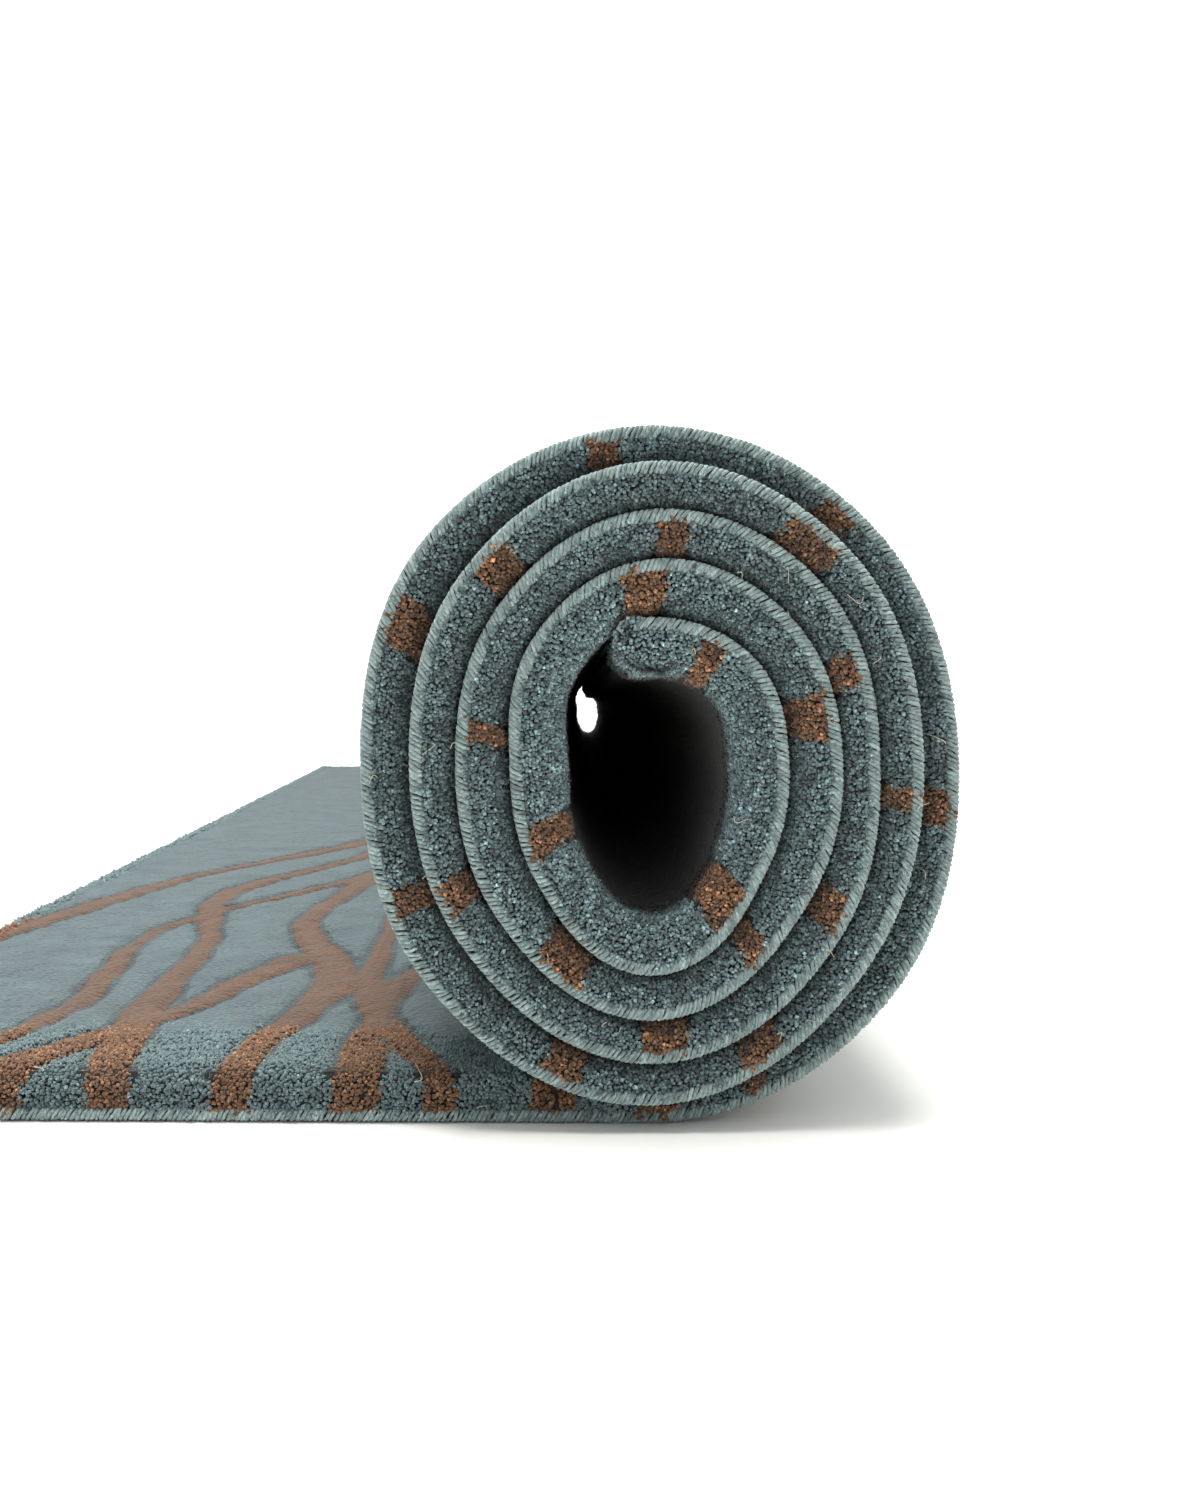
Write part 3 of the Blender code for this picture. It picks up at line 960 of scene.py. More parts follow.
@dataclass
class CarpetCloth:
    """The carpet's cloth: its woven back and the mass of its pile, as one closed sheet."""

    cloth: RolledCloth
    lines: WavyLines
    roll_step: float = 5 * MM
    tail_step: float = 5 * MM
    back_column: float = 15 * MM
    edge_columns: tuple[float, ...] = (1.0, 1.3, 2.0, 3.5, 6.0, 10.0, 16.0, 25.0, 40.0, 62.0)
    wide_column: float = 60 * MM
    hollow: float = 1.0 * MM
    eye_shade: float = 0.96
    back_rise: float = 0.4 * MM
    back_dents: float = 0.9 * MM
    rim_height: float = 3.2 * MM

    def side_columns(self) -> np.ndarray:
        """Returns the places across of the cloth's lengthwise rows of points.

        Returns:
            The places, from the near edge.
        """
        edge = np.array(self.edge_columns) * MM
        count = round((self.cloth.width - 2 * edge[-1]) / self.wide_column)
        middle = np.linspace(edge[-1], self.cloth.width - edge[-1], count + 1)
        return np.concatenate([edge[:-1], middle, (self.cloth.width - edge[:-1])[::-1]])

    def finer(self, columns: np.ndarray, step: float) -> tuple[np.ndarray, np.ndarray]:
        """Returns finer places across, and where the given ones are among them.

        Args:
            columns: the places to divide.
            step: how far apart the finer ones are at most.

        Returns:
            The finer places, and the numbers of the given ones.
        """
        places, marks = [columns[0]], [0]
        for start, end in zip(columns, columns[1:]):
            parts = max(1, math.ceil((end - start) / step - 1e-6))
            places += list(np.linspace(start, end, parts + 1)[1:])
            marks.append(len(places) - 1)
        return np.array(places), np.array(marks)

    def top_height(self, station: np.ndarray, across: np.ndarray) -> np.ndarray:
        """Returns the height of the pile's surface, rounded off at all four edges.

        Args:
            station: the stations.
            across: the places across.

        Returns:
            A height for each.
        """
        cloth = self.cloth
        full = cloth.height(station, across)
        along = cloth.along(station, across)
        inset = np.minimum(np.minimum(across, cloth.width - across),
                           np.minimum(along, cloth.length - along)) / MM
        round_off = np.interp(inset, self.edge_columns[:6], [0, 0.35, 0.72, 0.9, 0.96, 1.0])
        height = self.rim_height + (full - self.rim_height - self.hollow) * round_off
        return np.minimum(height, full - 0.2 * MM)

    def tail_relief(self, along: np.ndarray, across: np.ndarray, gap: np.ndarray) -> np.ndarray:
        """Returns how far the pile's top rises and falls: its nap, and the grooves along the lines.

        Args:
            along: places along the flat carpet.
            across: places across it.
            gap: how far each is from the edge of the nearest line.

        Returns:
            A height for each.
        """
        nap = 0.4 * SoftNoise((9 * MM, 9 * MM), 3).at(along, across)
        nap = nap + 0.5 * SoftNoise((40 * MM, 55 * MM), 4).at(along, across)
        fine = 0.22 * SoftNoise((3.6 * MM, 3.6 * MM), 5).at(along, across)
        return (nap + fine) * MM - self.lines.groove(gap)

    def stations(self) -> tuple[np.ndarray, int, int]:
        """Returns the cloth's crosswise rows of points, and where its outer turn and tail start.

        Returns:
            The stations, and the numbers of the outer turn's and the tail's first rows.
        """
        cloth = self.cloth
        ends = np.array([1.0, 1.3, 2.0, 3.5, 6.0]) * MM
        tail_start = cloth.length - cloth.near.tail
        rolled = np.linspace(ends[-1], tail_start, round(tail_start / self.roll_step))[1:]
        tail_rows = round((cloth.near.tail + cloth.far.tail) / 2 / self.tail_step)
        tail = np.linspace(tail_start, cloth.length - ends[-1], tail_rows + 1)[1:]
        along = np.concatenate([ends, rolled, tail, (cloth.length - ends[:-1])[::-1]])
        stations = np.interp(along, cloth.near.along, cloth.stations)
        outer = int(np.searchsorted(stations, cloth.last_turn - 1.05))
        return stations, outer, len(ends) + len(rolled)

    def build(self) -> bpy.types.Object:
        """Builds the sheet as four grids: pile and back, each with a finer grid where it shows.

        Returns:
            The sheet.
        """
        stations, outer, tail = self.stations()
        coarse = self.side_columns()
        middling, coarse_marks = self.finer(coarse, self.back_column)
        fine, middling_marks = self.finer(middling, self.tail_step)
        blocks = [self.grid(stations[:tail], coarse, True), self.grid(stations[tail:], fine, True),
                  self.grid(stations[:outer], coarse, False),
                  self.grid(stations[outer:], middling, False)]
        first, numbers = 0, []
        for block in blocks:
            rows, columns = block[0].shape[:2]
            numbers.append(first + np.arange(rows * columns).reshape(rows, columns))
            first += rows * columns
        pile_in, pile_out, back_in, back_out = numbers
        pile = self.quads(pile_in, True) + self.quads(pile_out, True)
        pile += self.fans(pile_in[-1], pile_out[0], middling_marks[coarse_marks])
        back = self.quads(back_in, False) + self.quads(back_out, False)
        back += self.fans(back_in[-1], back_out[0], coarse_marks, flip=True)
        walls = self.fans(back_out[-1], pile_out[-1], middling_marks, flip=True)
        walls += [(pile_in[0, here], pile_in[0, here + 1], back_in[0, here + 1], back_in[0, here])
                  for here in range(len(coarse) - 1)]
        top = [row[[0, -1]] for block in (pile_in, pile_out) for row in block]
        low = [row[[0, -1]] for block in (back_in, back_out) for row in block]
        for row in range(len(stations) - 1):
            walls += [(top[row][0], low[row][0], low[row + 1][0], top[row + 1][0]),
                      (top[row + 1][1], low[row + 1][1], low[row][1], top[row][1])]
        faces = pile + back + walls
        points = np.concatenate([block[0].reshape(-1, 3) for block in blocks])
        mesh = bpy.data.meshes.new("carpet_cloth")
        mesh.from_pydata(points.tolist(), [], [tuple(int(n) for n in face) for face in faces])
        made = bpy.data.objects.new("carpet_cloth", mesh)
        bpy.context.scene.collection.objects.link(made)
        slots = np.zeros(len(faces), np.int32)
        slots[len(pile):len(pile) + len(back)] = 1
        mesh.polygons.foreach_set("material_index", slots)
        for key, column in (("flat", 1), ("line", 2), ("hairline", 3), ("shade", 4)):
            width = 3 if key == "flat" else 1
            values = np.concatenate([block[column].reshape(-1, width) for block in blocks])
            set_values(made, key, values if width == 3 else values[:, 0])
        return made

    def grid(self, stations: np.ndarray, columns: np.ndarray, top: bool) -> tuple[np.ndarray, ...]:
        """Returns a grid of points, with what their material reads at each.

        Args:
            stations: the rows.
            columns: the places across.
            top: whether it is the pile or the back.

        Returns:
            The points, their places in the flat, their distances from the lines in mm, and their painted
            shade.
        """
        cloth = self.cloth
        station, across = np.meshgrid(stations, columns, indexing="ij")
        along = cloth.along(station, across)
        gap = self.lines.distance(along, across)
        hair = self.lines.hairline_distance(along, across)
        edge = np.minimum(np.minimum(across, cloth.width - across),
                          np.minimum(along, cloth.length - along))
        if top:
            free = smooth_step(cloth.last_turn + 0.06, cloth.last_turn + 0.2, station)
            free = free * smooth_step(2 * MM, 8 * MM, edge)
            height = self.top_height(station, across) + free * self.tail_relief(along, across, gap)
            side = np.minimum(across, cloth.width - across)
            # Painted shade: the pile's top is drawn darker within 12 mm of the near and far edges, and
            # far darker inside the eye.
            shade = 0.5 + 0.5 * smooth_step(3 * MM, 12 * MM, side)
            shade = shade * (1 - self.eye_shade * (station < 1) * smooth_step(1 * MM, 12 * MM, side))
        else:
            height = np.full_like(station, self.back_rise)
            outer = smooth_step(cloth.last_turn - 1, cloth.last_turn - 0.9, station)
            outer = outer * smooth_step(-cloth.last_turn - 0.08, -cloth.last_turn, -station)
            dents = SoftNoise((90 * MM, 160 * MM), 8).at(along, across)
            inside = smooth_step(6 * MM, 40 * MM, edge)
            height = height + outer * inside * self.back_dents * (dents + 0.6)
            shade = np.ones_like(station)
        flat = np.stack([along, across, np.zeros_like(along)], axis=-1)
        return cloth.place(station, across, height), flat, gap / MM, hair / MM, shade

    @staticmethod
    def quads(numbers: np.ndarray, flip: bool) -> list[tuple[int, ...]]:
        """Returns the faces of a grid of point numbers.

        Args:
            numbers: the grid.
            flip: whether the faces turn the other way.

        Returns:
            The faces.
        """
        corners = [numbers[:-1, :-1], numbers[1:, :-1], numbers[1:, 1:], numbers[:-1, 1:]]
        if flip:
            corners = corners[::-1]
        return [tuple(row) for row in np.stack(corners, axis=-1).reshape(-1, 4)]

    @staticmethod
    def fans(coarse: np.ndarray, fine: np.ndarray, marks: np.ndarray, flip: bool = False
             ) -> list[tuple[int, ...]]:
        """Returns faces that join a coarse row of points to a fine one.

        Args:
            coarse: the coarse row's point numbers.
            fine: the fine row's.
            marks: where the coarse row's points are in the fine row.
            flip: whether the faces turn the other way.

        Returns:
            The faces.
        """
        made = []
        for index in range(len(coarse) - 1):
            run = list(fine[marks[index]:marks[index + 1] + 1])
            face = [coarse[index], *run, coarse[index + 1]]
            made.append(tuple(face if flip else face[::-1]))
        return made


# ------------------------------------------------------------------------------------- the pile


class EdgeName(Enum):
    """The carpet's four edges."""

    NEAR = "near"
    FAR = "far"
    TAIL = "tail"
    INNER = "inner"


@dataclass
class EdgeFrame:
    """Places along one edge of the carpet, by how far along it and how far in from it they are."""

    cloth: RolledCloth
    edge: EdgeName

    def flat(self, run: np.ndarray, inset: np.ndarray) -> tuple[np.ndarray, np.ndarray]:
        """Returns the places in the flat.

        Args:
            run: how far along the edge.
            inset: how far in from it.

        Returns:
            The places along and across the carpet.
        """
        if self.edge is EdgeName.NEAR:
            return run, inset
        if self.edge is EdgeName.FAR:
            return run, self.cloth.width - inset
        if self.edge is EdgeName.TAIL:
            return self.cloth.length - inset, run
        return inset, run

    def points(self, run: np.ndarray, inset: np.ndarray, height: np.ndarray) -> np.ndarray:
        """Returns the places in the room. An inset may be a little below zero, outside the edge.

        Args:
            run: how far along the edge.
            inset: how far in from it.
            height: how far above the back.

        Returns:
            The points.
        """
        along, across = self.flat(run, np.maximum(inset, 0))
        station = self.cloth.station(along, across)
        way, sideways, _ = self.cloth.frames(station, across)
        outward = {EdgeName.NEAR: -sideways, EdgeName.FAR: sideways,
                   EdgeName.TAIL: way, EdgeName.INNER: -way}[self.edge]
        outside = -np.minimum(inset, 0)[..., None]
        return self.cloth.place(station, across, height) + outward * outside

    def ways(self, run: np.ndarray, inset: np.ndarray) -> tuple[np.ndarray, ...]:
        """Returns the unit ways along the edge, out of the edge, and up through the pile.

        Args:
            run: how far along the edge.
            inset: how far in from it.

        Returns:
            The three ways.
        """
        along, across = self.flat(run, np.maximum(inset, 0))
        way, sideways, up = self.cloth.frames(self.cloth.station(along, across), across)
        if self.edge is EdgeName.NEAR:
            return way, -sideways, up
        if self.edge is EdgeName.FAR:
            return way, sideways, up
        if self.edge is EdgeName.TAIL:
            return sideways, way, up
        return sideways, -way, up

    def pile_height(self, run: np.ndarray) -> np.ndarray:
        """Returns how high the pile stands at the edge."""
        along, across = self.flat(run, np.zeros_like(run))
        return self.cloth.height(self.cloth.station(along, across), across)


@dataclass(frozen=True)
class Patch:
    """A stretch of pile edge that gets its own tufts.

    start and end are along the edge, spacing is how far apart the tufts are, and depth is how
    far they go on over the top of the pile. Over the last stretch they sink into it.
    """

    start: float
    end: float
    spacing: float
    depth: float = 0.0
    sinking: float = 0.0


@dataclass
class PileEdge:
    """The tufts that show along one edge: up its side, round its corner and over its top."""

    name: str
    frame: EdgeFrame
    lines: WavyLines
    patch: Patch
    seed: int
    row_share: float = 0.87
    foot: float = 3.3 * MM
    corner: float = 8.5 * MM
    corner_share: float = 0.68
    sunk: float = 2.0 * MM
    eye_shade: float = 0.9
    groove_shade: float = 0.5
    bare_corner: float = 6.0 * MM
    bulge: float = 0.6 * MM
    spill: float = 3.0 * MM
    fringe: float = 0.9 * MM
    trodden: float = 0.6 * MM
    tail_tone: float = 0.84
    outer_shade: float = 0.1
    tail_fill: float = 0.45

    def corner_radius(self, height: np.ndarray) -> np.ndarray:
        """Returns the radius that the pile's upper corner is worn to."""
        return np.minimum(self.corner, self.corner_share * (height - self.foot))

    def profile(self, climb: np.ndarray, height: np.ndarray) -> tuple[np.ndarray, ...]:
        """Follows the pile's surface from the binding up its side and over its top.

        Args:
            climb: how far along that path each tuft is.
            height: the pile's height there.

        Returns:
            inset, height, and the way out of the surface as outward and upward parts.
        """
        corner = self.corner_radius(height)
        side = height - self.foot - corner
        turn = np.clip((climb - side) / corner, 0, math.pi / 2)
        over = np.maximum(climb - side - corner * math.pi / 2, 0)
        inset = corner * (1 - np.cos(turn)) + over
        level = self.foot + np.minimum(climb, side) + corner * np.sin(turn)
        return inset, level, np.cos(turn), np.sin(turn)

    def scatter(self, draw: np.random.Generator) -> tuple[np.ndarray, np.ndarray]:
        """Returns where the patch's tufts stand: how far along the edge and how far up the profile.

        Args:
            draw: places the tufts unevenly.

        Returns:
            The two distances of each tuft.
        """
        patch, pitch = self.patch, self.patch.spacing * self.row_share
        reach = self.spill + self.frame.cloth.thickness + self.corner + patch.depth
        rows, columns = int(reach / pitch), int((patch.end - patch.start) / patch.spacing)
        column, row = np.meshgrid(np.arange(columns), np.arange(rows), indexing="ij")
        run = column + 0.5 * (row % 2) + draw.uniform(-0.36, 0.36, row.shape)
        run = patch.start + run * patch.spacing
        climb = (row + draw.uniform(-0.32, 0.32, row.shape)) * pitch - self.spill
        height = self.frame.pile_height(run)
        corner = self.corner_radius(height)
        over = climb - (height - self.foot - corner + corner * math.pi / 2)
        keep = (over < patch.depth) & (run < patch.end) & (run > patch.start)
        below = np.maximum(-climb, 0)
        brown = self.lines.distance(*self.frame.flat(run, 0 * run)) < 0
        ragged = SoftNoise((1.9 * MM, 50 * MM), self.seed + 2).at(run, 0 * run)
        spill = np.where(brown, self.spill * ragged, self.fringe * (ragged + 0.6))
        bare = (run < self.bare_corner) & (self.frame.edge is EdgeName.NEAR)
        spill = np.where(bare, self.foot, spill)
        keep &= (climb >= 0) | (below < spill)
        return run[keep], climb[keep]

    def build(self) -> bpy.types.Object:
        """Builds the patch's tufts as one mesh: makes a bud for each and says what colour it is.

        Returns:
            The tufts.
        """
        draw = np.random.default_rng(self.seed)
        size = self.patch.spacing
        run, climb = self.scatter(draw)
        height = self.frame.pile_height(run)
        inset, level, out_part, up_part = self.profile(climb, height)
        along, across = self.frame.flat(run, inset)
        gap = self.lines.distance(along, across)
        station = self.frame.cloth.station(along, across)
        on_tail = station > self.frame.cloth.last_turn
        level = level - (self.lines.groove(gap) + self.trodden * on_tail) * up_part
        if self.patch.sinking:
            start = self.patch.depth - self.patch.sinking
            level = level - self.sunk * smooth_step(start, self.patch.depth, inset - self.corner)
        lumps = SoftNoise((6 * MM, 6 * MM), self.seed + 1).at(run, climb + inset)
        clumps = SoftNoise((2.3 * MM, 2.3 * MM), self.seed + 3).at(run, climb + inset)
        _, outward, up = self.frame.ways(run, inset)
        centres = self.frame.points(run, inset, level)
        proud = self.bulge * (lumps + 0.6 * clumps) + np.where(climb < 0, 0.55 * MM, 0)
        centres = centres + outward * (proud * out_part)[:, None]
        centres = centres + up * (0.5 * proud * up_part)[:, None]
        lean = draw.normal(0, 0.3, (len(run), 3)) + 0.35 * self.whorls(run, climb + inset)
        droop = np.clip(1 - climb / (2.5 * MM), 0, 1) * 0.5
        ways = unit(outward * out_part[:, None] + up * (up_part + 0.3 - droop)[:, None] + lean)
        widths = size * draw.uniform(0.5, 0.78, len(run))
        lengths = size * draw.uniform(0.9, 1.7, len(run))
        template = Bud().template()
        points, triangles = copies(template, centres - ways * size, ways, widths, lengths, draw)
        made = mesh_of(self.name, self.frame.cloth.above_floor(points), triangles)
        brown = gap < draw.normal(0, 0.55 * MM, len(run))
        even = 1 - on_tail * (0.4 + 0.35 * up_part)
        tone = np.exp(draw.normal(0, 0.34, len(run)) * even)
        tone = tone * (1 + (0.16 * lumps + 0.32 * clumps) * even)
        # Painted shade: tufts are drawn darker inside the eye, on the side turned to the next inner
        # turn, and on the outer turns; tail_tone tones all tufts of the tail.
        tone = tone * (1 - self.eye_shade * (station < 1) * smooth_step(2 * MM, 16 * MM, inset))
        rolled_in = (station > 1) & ~on_tail
        tone = tone * (1 - self.groove_shade * rolled_in * up_part)
        outer = smooth_step(1.5, 3.5, station)
        tone = tone * np.where(on_tail, self.tail_tone, 1 - self.outer_shade * outer)
        # Painted highlight: a few tufts, more of them brown ones, are drawn twice as light.
        glint = draw.random(len(run)) < np.where(brown, 0.12, 0.01)
        tone = np.where(glint, tone * 2.0, tone)
        # Painted light and shade: each tuft's share runs from its root, painted shade, to its tip,
        # painted light; on the tail it is evened out.
        tips = np.tile(np.array([0.4] * Bud().sides + [1.0, 0.0]), (len(run), 1))
        tips = tips + self.tail_fill * on_tail[:, None] * (0.75 - tips)
        set_values(made, "tone", np.repeat(tone, len(template[0])))
        set_values(made, "brown", np.repeat(brown.astype(float), len(template[0])))
        set_values(made, "lit_tip", tips.ravel())
        return made

    def whorls(self, run: np.ndarray, climb: np.ndarray) -> np.ndarray:
        """Returns the shared lean of neighbouring tufts."""
        return np.stack([SoftNoise((8 * MM, 5 * MM), self.seed + 5 + axis).at(run, climb)
                         for axis in range(3)], axis=1)


# ----------------------------------------------------------------------------------- the binding


@dataclass(frozen=True)
class Stitch:
    """One stitch: its spacing, its slant, and its way round the edge as (inset, height) in mm."""

    pitch: float = 1.5 * MM
    slant: float = 1.9 * MM
    sides: int = 5
    route: tuple[tuple[float, float], ...] = (
        (1.5, 4.0), (0.35, 3.5), (-0.1, 2.5), (0.0, 1.4), (0.65, 0.62), (2.4, 0.55), (4.8, 0.7))
    half_thickness: float = 0.55 * MM
    wander: float = 0.12 * MM


COARSE_STITCH = Stitch(pitch=2.1 * MM, slant=1.6 * MM, sides=4,
                       route=((1.5, 4.0), (-0.1, 2.6), (0.15, 1.1), (2.4, 0.55), (4.8, 0.7)))


@dataclass
class WhippedEdge:
    """Yarn stitched over the edge: each stitch comes out of the pile, goes round and under."""

    name: str
    frame: EdgeFrame
    start: float
    end: float
    seed: int
    stitch: Stitch = Stitch()

    def build(self) -> bpy.types.Object:
        """Builds every stitch as one mesh.

        Returns:
            The stitches.
        """
        draw, stitch = np.random.default_rng(self.seed), self.stitch
        count = int((self.end - self.start) / stitch.pitch)
        places = (np.arange(count) + 0.5) * stitch.pitch + draw.normal(0, 0.1 * MM, count)
        route = np.array(stitch.route) * MM
        steps = len(route)
        wander = draw.normal(0, stitch.wander, (count, steps))
        drift = np.linspace(-stitch.slant, stitch.slant, steps) * draw.uniform(0.75, 1.25, (count, 1))
        run = np.clip((self.start + places)[:, None] + drift + wander, self.start, self.end)
        shape = run.shape
        level = np.broadcast_to(route[:, 1], shape)
        inset = np.broadcast_to(route[:, 0] + draw.normal(0, stitch.wander, (count, 1)), shape)
        lines = self.frame.points(run.ravel(), inset.ravel(), level.ravel()).reshape(*shape, 3)
        along_way, _, _ = self.frame.ways(run.ravel(), inset.ravel())
        half_width = np.full(shape, 0.47 * stitch.pitch) * draw.uniform(0.75, 1.15, (count, 1))
        half_width[:, [0, -1]] *= 0.6
        half_height = np.full(shape, stitch.half_thickness) * draw.uniform(0.85, 1.15, (count, 1))
        half_height[:, [0, -1]] *= 0.5
        points, triangles = strands(lines, along_way.reshape(*shape, 3), half_width, half_height,
                                    stitch.sides)
        made = mesh_of(self.name, self.frame.cloth.above_floor(points), triangles)
        tone = np.exp(draw.normal(0, 0.13, count))
        set_values(made, "tone", np.repeat(tone, steps * stitch.sides))
        set_values(made, "twist", self.twist(count, steps))
        return made

    def twist(self, count: int, steps: int) -> np.ndarray:
        """Returns where each point is on its own yarn, so that the ply runs slanting along it.

        Args:
            count: how many stitches there are.
            steps: how many points a stitch's route has.

        Returns:
            A place for each point, as (point, xyz).
        """
        turn = np.arange(self.stitch.sides) / self.stitch.sides * 3 * MM
        length = np.arange(steps) * 1.1 * MM
        places = np.zeros((count, steps, self.stitch.sides, 3))
        places[..., 0] = (turn[None, None] + length[None, :, None] * 0.6)
        places[..., 1] = length[None, :, None] * 0.35
        places[..., 2] = np.arange(count)[:, None, None] * 7 * MM
        return places.reshape(-1, 3)


# ------------------------------------------------------------------------------- loose fibres


@dataclass
class LooseFibres:
    """Thin wool hairs that stand out of the pile edge."""

    name: str
    frame: EdgeFrame
    seed: int
    count: int
    length: tuple[float, float]
    half_width: float
    bend: float
    steps: int = 4
    sides: int = 3

    def build(self) -> bpy.types.Object:
        """Builds the hairs as one mesh.

        Returns:
            The hairs.
        """
        draw = np.random.default_rng(self.seed)
        run = draw.uniform(0.004, 2.39, self.count)
        height = self.frame.pile_height(run)
        level = draw.uniform(0.0, 1.0, self.count) * height
        way, outward, up = self.frame.ways(run, 0 * run)
        roots = self.frame.points(run, 0 * run, level)
        heading = unit(outward * draw.uniform(0.2, 0.9, (self.count, 1))
                       + way * draw.normal(0, 0.7, (self.count, 1))
                       + up * draw.normal(0, 0.7, (self.count, 1)))
        curl = unit(np.cross(heading, draw.normal(size=(self.count, 3))))
        size = draw.uniform(*self.length, self.count)
        reach = np.linspace(0, 1, self.steps)
        line = (roots[:, None]
                + heading[:, None] * (size[:, None] * reach)[..., None]
                + curl[:, None] * (self.bend * size[:, None] * np.sin(reach * math.pi * 1.3))[..., None])
        width = np.full((self.count, self.steps), self.half_width) * np.linspace(1, 0.5, self.steps)
        sideways = np.broadcast_to(curl[:, None], line.shape)
        points, triangles = strands(line, sideways, width, width, self.sides)
        return mesh_of(self.name, self.frame.cloth.above_floor(points), triangles)


# -------------------------------------------------------------------------------- the assembly


@dataclass
class Carpet:
    """The whole carpet, rolled up."""

    cloth: RolledCloth = field(default_factory=RolledCloth)
    lines: WavyLines = field(default_factory=WavyLines)

    def fit(self, piece: bpy.types.Object, slot: str,
            *materials: bpy.types.Material) -> bpy.types.Object:
        """Dresses a piece, fixes it to the frame and reports it.

        Args:
            piece: the piece.
            slot: the frame's material slot for it; not used.
            materials: its finishes.

        Returns:
            The piece.
        """
        for material in materials:
            piece.data.materials.append(material)
        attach(piece, "root")
        triangles = sum(len(face.vertices) - 2 for face in piece.data.polygons)
        LOG.info("%s: %d triangles", piece.name, triangles)
        return piece

    def pile_edges(self) -> list[PileEdge]:
        """Returns the tufts of the four edges, with more of them where the pile's top shows.

        Returns:
            The tufts' patches.
        """
        cloth = self.cloth
        near, far = EdgeFrame(cloth, EdgeName.NEAR), EdgeFrame(cloth, EdgeName.FAR)
        tail, inner = EdgeFrame(cloth, EdgeName.TAIL), EdgeFrame(cloth, EdgeName.INNER)
        # The innermost turn ends at eye_end. The tail's top shows from tail_start on.
        eye_end, tail_start = 0.31, cloth.length - cloth.near.tail + 0.03
        length, width, fine = cloth.length, cloth.width, 1.17 * MM
        return [
            PileEdge("tufts_near_eye", near, self.lines,
                     Patch(0.001, eye_end, fine, depth=26 * MM, sinking=12 * MM), 11),
            PileEdge("tufts_near_roll", near, self.lines, Patch(eye_end, tail_start, fine), 12),
            PileEdge("tufts_near_tail", near, self.lines,
                     Patch(tail_start, length - 0.001, 1.22 * MM, depth=74 * MM, sinking=52 * MM), 13),
            PileEdge("tufts_far", far, self.lines, Patch(0.002, length - 0.002, 2.6 * MM), 14),
            PileEdge("tufts_tail_end", tail, self.lines,
                     Patch(0.004, width - 0.004, 2.7 * MM, depth=6 * MM, sinking=4 * MM), 15),
            PileEdge("tufts_inner_end", inner, self.lines,
                     Patch(0.001, 0.09, fine, depth=8 * MM, sinking=4 * MM), 16),
        ]

    def whipped_edges(self) -> list[tuple[WhippedEdge, str]]:
        """Returns the binding of the four edges, each with the node that it stands for.

        Returns:
            The edges, and the nodes' names.
        """
        cloth = self.cloth
        frames = {name: EdgeFrame(cloth, name) for name in EdgeName}
        return [
            (WhippedEdge("whipped_near", frames[EdgeName.NEAR], 5 * MM, cloth.length, 21),
             "overcast_front"),
            (WhippedEdge("whipped_far", frames[EdgeName.FAR], 0.0, cloth.length, 22, COARSE_STITCH),
             "overcast_back"),
            (WhippedEdge("whipped_tail_end", frames[EdgeName.TAIL], 0.0, cloth.width, 23, COARSE_STITCH),
             "overcast_tail"),
            (WhippedEdge("whipped_inner_end", frames[EdgeName.INNER], 0.0, cloth.width, 24,
                         COARSE_STITCH), "overcast_inner"),
        ]

    def build(self) -> None:
        """Builds and dresses every piece of the carpet."""
        pile, tufts = CutPileSurface().material(), CutWoolTufts().material()
        back, yarn = KnottedBack().material(), BindingYarn().material()
        sheet = self.fit(CarpetCloth(self.cloth, self.lines).build(), "pile_wool", pile, back)
        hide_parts("carpet")
        fitted = [self.fit(edge.build(), "pile_wool", tufts) for edge in self.pile_edges()]
        for edge, node in self.whipped_edges():
            piece = self.fit(edge.build(), "binding_yarn", yarn)
            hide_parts(node)
            fitted.append(piece)
        near = EdgeFrame(self.cloth, EdgeName.NEAR)
        hairs = [
            (LooseFibres("fuzz_near", near, 31, 1200, (1.2 * MM, 3.2 * MM), 0.035 * MM, 0.25),
             LooseFibre("teal_wool_hair", "#8FA2A1")),
            (LooseFibres("stray_near", near, 32, 26, (2.5 * MM, 6.5 * MM), 0.14 * MM, 0.35,
                         steps=8, sides=5),
             LooseFibre("undyed_wool_hair", "#E9DCC4")),
        ]
        for fibres, finish in hairs:
            fitted.append(self.fit(fibres.build(), "pile_wool", finish.material()))


# ----------------------------------------------------------------------------------- the studio


@dataclass(frozen=True)
class PaleStudioFloor:
    """White painted board: matt, barely uneven."""

    colour: str = "#FAFAF8"
    roughness: float = 0.7
    uneven: float = 400 * MM

    def material(self) -> bpy.types.Material:
        """Returns the finish.

        Returns:
            The material.
        """
        material, tree, shader = new_material("white_painted_board")
        place = add_node(tree, "ShaderNodeTexCoord").outputs["Object"]
        uneven = add_node(tree, "ShaderNodeTexNoise", {"Vector": place, "Scale": 1 / self.uneven})
        shade = add_node(tree, "ShaderNodeMix", {SHARE: uneven.outputs["Fac"], FIRST: linear("#F8F8F6"),
                                                 SECOND: linear("#FFFFFF")},
                         data_type="RGBA").outputs[MIXED]
        shaded = add_node(tree, "ShaderNodeMix", {SHARE: 1.0, FIRST: linear(self.colour), SECOND: shade},
                          data_type="RGBA", blend_type="MULTIPLY")
        tree.links.new(shaded.outputs[MIXED], shader.inputs["Base Color"])
        shader.inputs["Roughness"].default_value = self.roughness
        return material


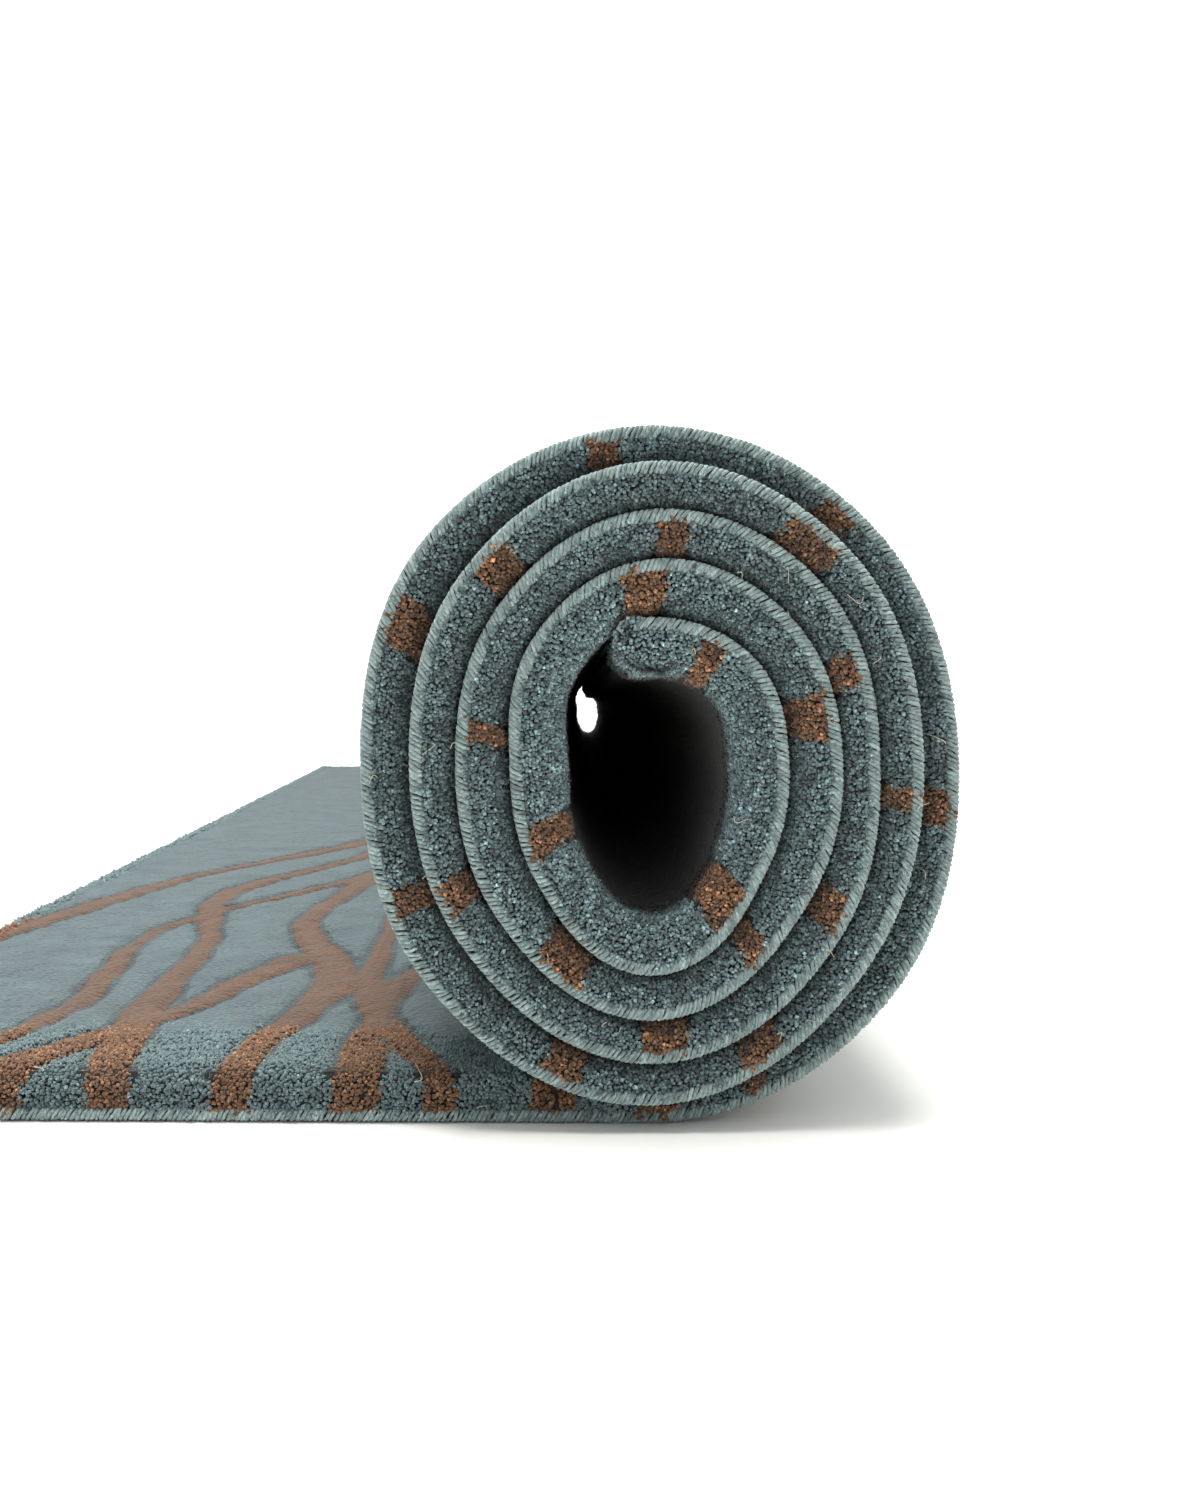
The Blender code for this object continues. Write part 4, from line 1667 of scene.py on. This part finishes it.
@dataclass(frozen=True)
class LitPaper:
    """White paper lit from behind: an even glow that shows pure white."""

    glow: float = 1.05

    def material(self) -> bpy.types.Material:
        """Returns the finish.

        Returns:
            The material.
        """
        material, _, shader = new_material("white_paper_lit_from_behind")
        shader.inputs["Base Color"].default_value = linear("#FFFFFF")
        shader.inputs["Roughness"].default_value = 1.0
        shader.inputs["Emission Color"].default_value = linear("#FFFFFF")
        shader.inputs["Emission Strength"].default_value = self.glow
        return material


@dataclass
class Studio:
    """The floor, the backdrop, the lights and the camera."""

    cloth: RolledCloth
    camera_back: float = 401.6 * MM
    camera_aside: float = -24.4 * MM
    camera_height: float = 131.3 * MM
    turn_right: float = 1.17
    tip_down: float = 2.43
    lens: float = 32.83

    def build_board(self, name: str, size: float, place: Vector, upright: bool,
                    material: bpy.types.Material) -> None:
        """Adds a flat board to the stage.

        Args:
            name: the board's name.
            size: how long its sides are.
            place: where its middle is.
            upright: whether it stands up or lies flat.
            material: its finish.
        """
        bpy.ops.object.select_all(action="DESELECT")
        turn = (math.pi / 2, 0, 0) if upright else (0, 0, 0)
        bpy.ops.mesh.primitive_plane_add(size=size, location=place, rotation=turn)
        board = bpy.context.object
        board.name = name
        board.data.materials.append(material)

    def build_light(self, name: str, place: Vector, aim: Vector, size: float, power: float,
                    colour: str) -> None:
        """Adds a soft square light.

        Args:
            name: the light's name.
            place: where it hangs.
            aim: the point that it faces.
            size: how long its sides are.
            power: its power in watts.
            colour: its colour.
        """
        light = bpy.data.lights.new(name, "AREA")
        light.shape = "SQUARE"
        light.size = size
        light.energy = power
        light.color = linear(colour)[:3]
        made = bpy.data.objects.new(name, light)
        made.location = place
        made.rotation_euler = (aim - place).to_track_quat("-Z", "Y").to_euler()
        bpy.context.scene.collection.objects.link(made)

    def build_camera(self) -> None:
        """Adds the camera, low and close in front of the roll's near end."""
        near_end = Vector(self.cloth.corner)
        camera = bpy.data.cameras.new("camera")
        camera.lens = self.lens
        camera.sensor_width = 36
        camera.clip_start = 0.01
        camera.clip_end = 100
        made = bpy.data.objects.new("camera", camera)
        made.location = near_end + Vector((self.camera_aside, -self.camera_back, self.camera_height))
        made.rotation_euler = Euler((math.radians(90 - self.tip_down), 0,
                                     -math.radians(self.turn_right)))
        bpy.context.scene.collection.objects.link(made)
        bpy.context.scene.camera = made

    def build(self) -> None:
        """Builds the whole studio."""
        scene = bpy.context.scene
        scene.view_settings.view_transform = "Standard"
        low, high = CAD_BOX
        middle = (Vector(low) + Vector(high)) / 2
        self.build_board("floor", 24, Vector((middle.x, middle.y, low[2] - 0.0002)), False,
                         PaleStudioFloor().material())
        self.build_board("backdrop", 24, Vector((middle.x, high[1] + 4, 0)), True,
                         LitPaper().material())
        world = bpy.data.worlds.new("soft_white_room")
        world.use_nodes = True
        tree = world.node_tree
        way = add_node(tree, "ShaderNodeTexCoord").outputs["Generated"]
        height = add_node(tree, "ShaderNodeSeparateXYZ", {0: way}).outputs["Z"]
        glow = add_node(tree, "ShaderNodeMapRange", {"Value": height, "From Min": 0.0, "From Max": 0.8,
                                                     "To Min": 0.42, "To Max": 0.72}).outputs[0]
        tree.links.new(glow, tree.nodes["Background"].inputs["Strength"])
        tree.nodes["Background"].inputs["Color"].default_value = linear("#FFFFFF")
        scene.world = world
        aim = Vector((self.cloth.corner[0], low[1] + 0.2, 0.05))
        self.build_light("overhead", aim + Vector((-0.2, 0.05, 2.35)), aim, 1.5, 95, "#FFFEFA")
        self.build_camera()


def main() -> None:
    """Builds the carpet and the studio."""
    logging.basicConfig(level=logging.INFO, format="%(message)s")
    carpet = Carpet()
    carpet.build()
    Studio(carpet.cloth).build()


if __name__ == "__main__":
    main()
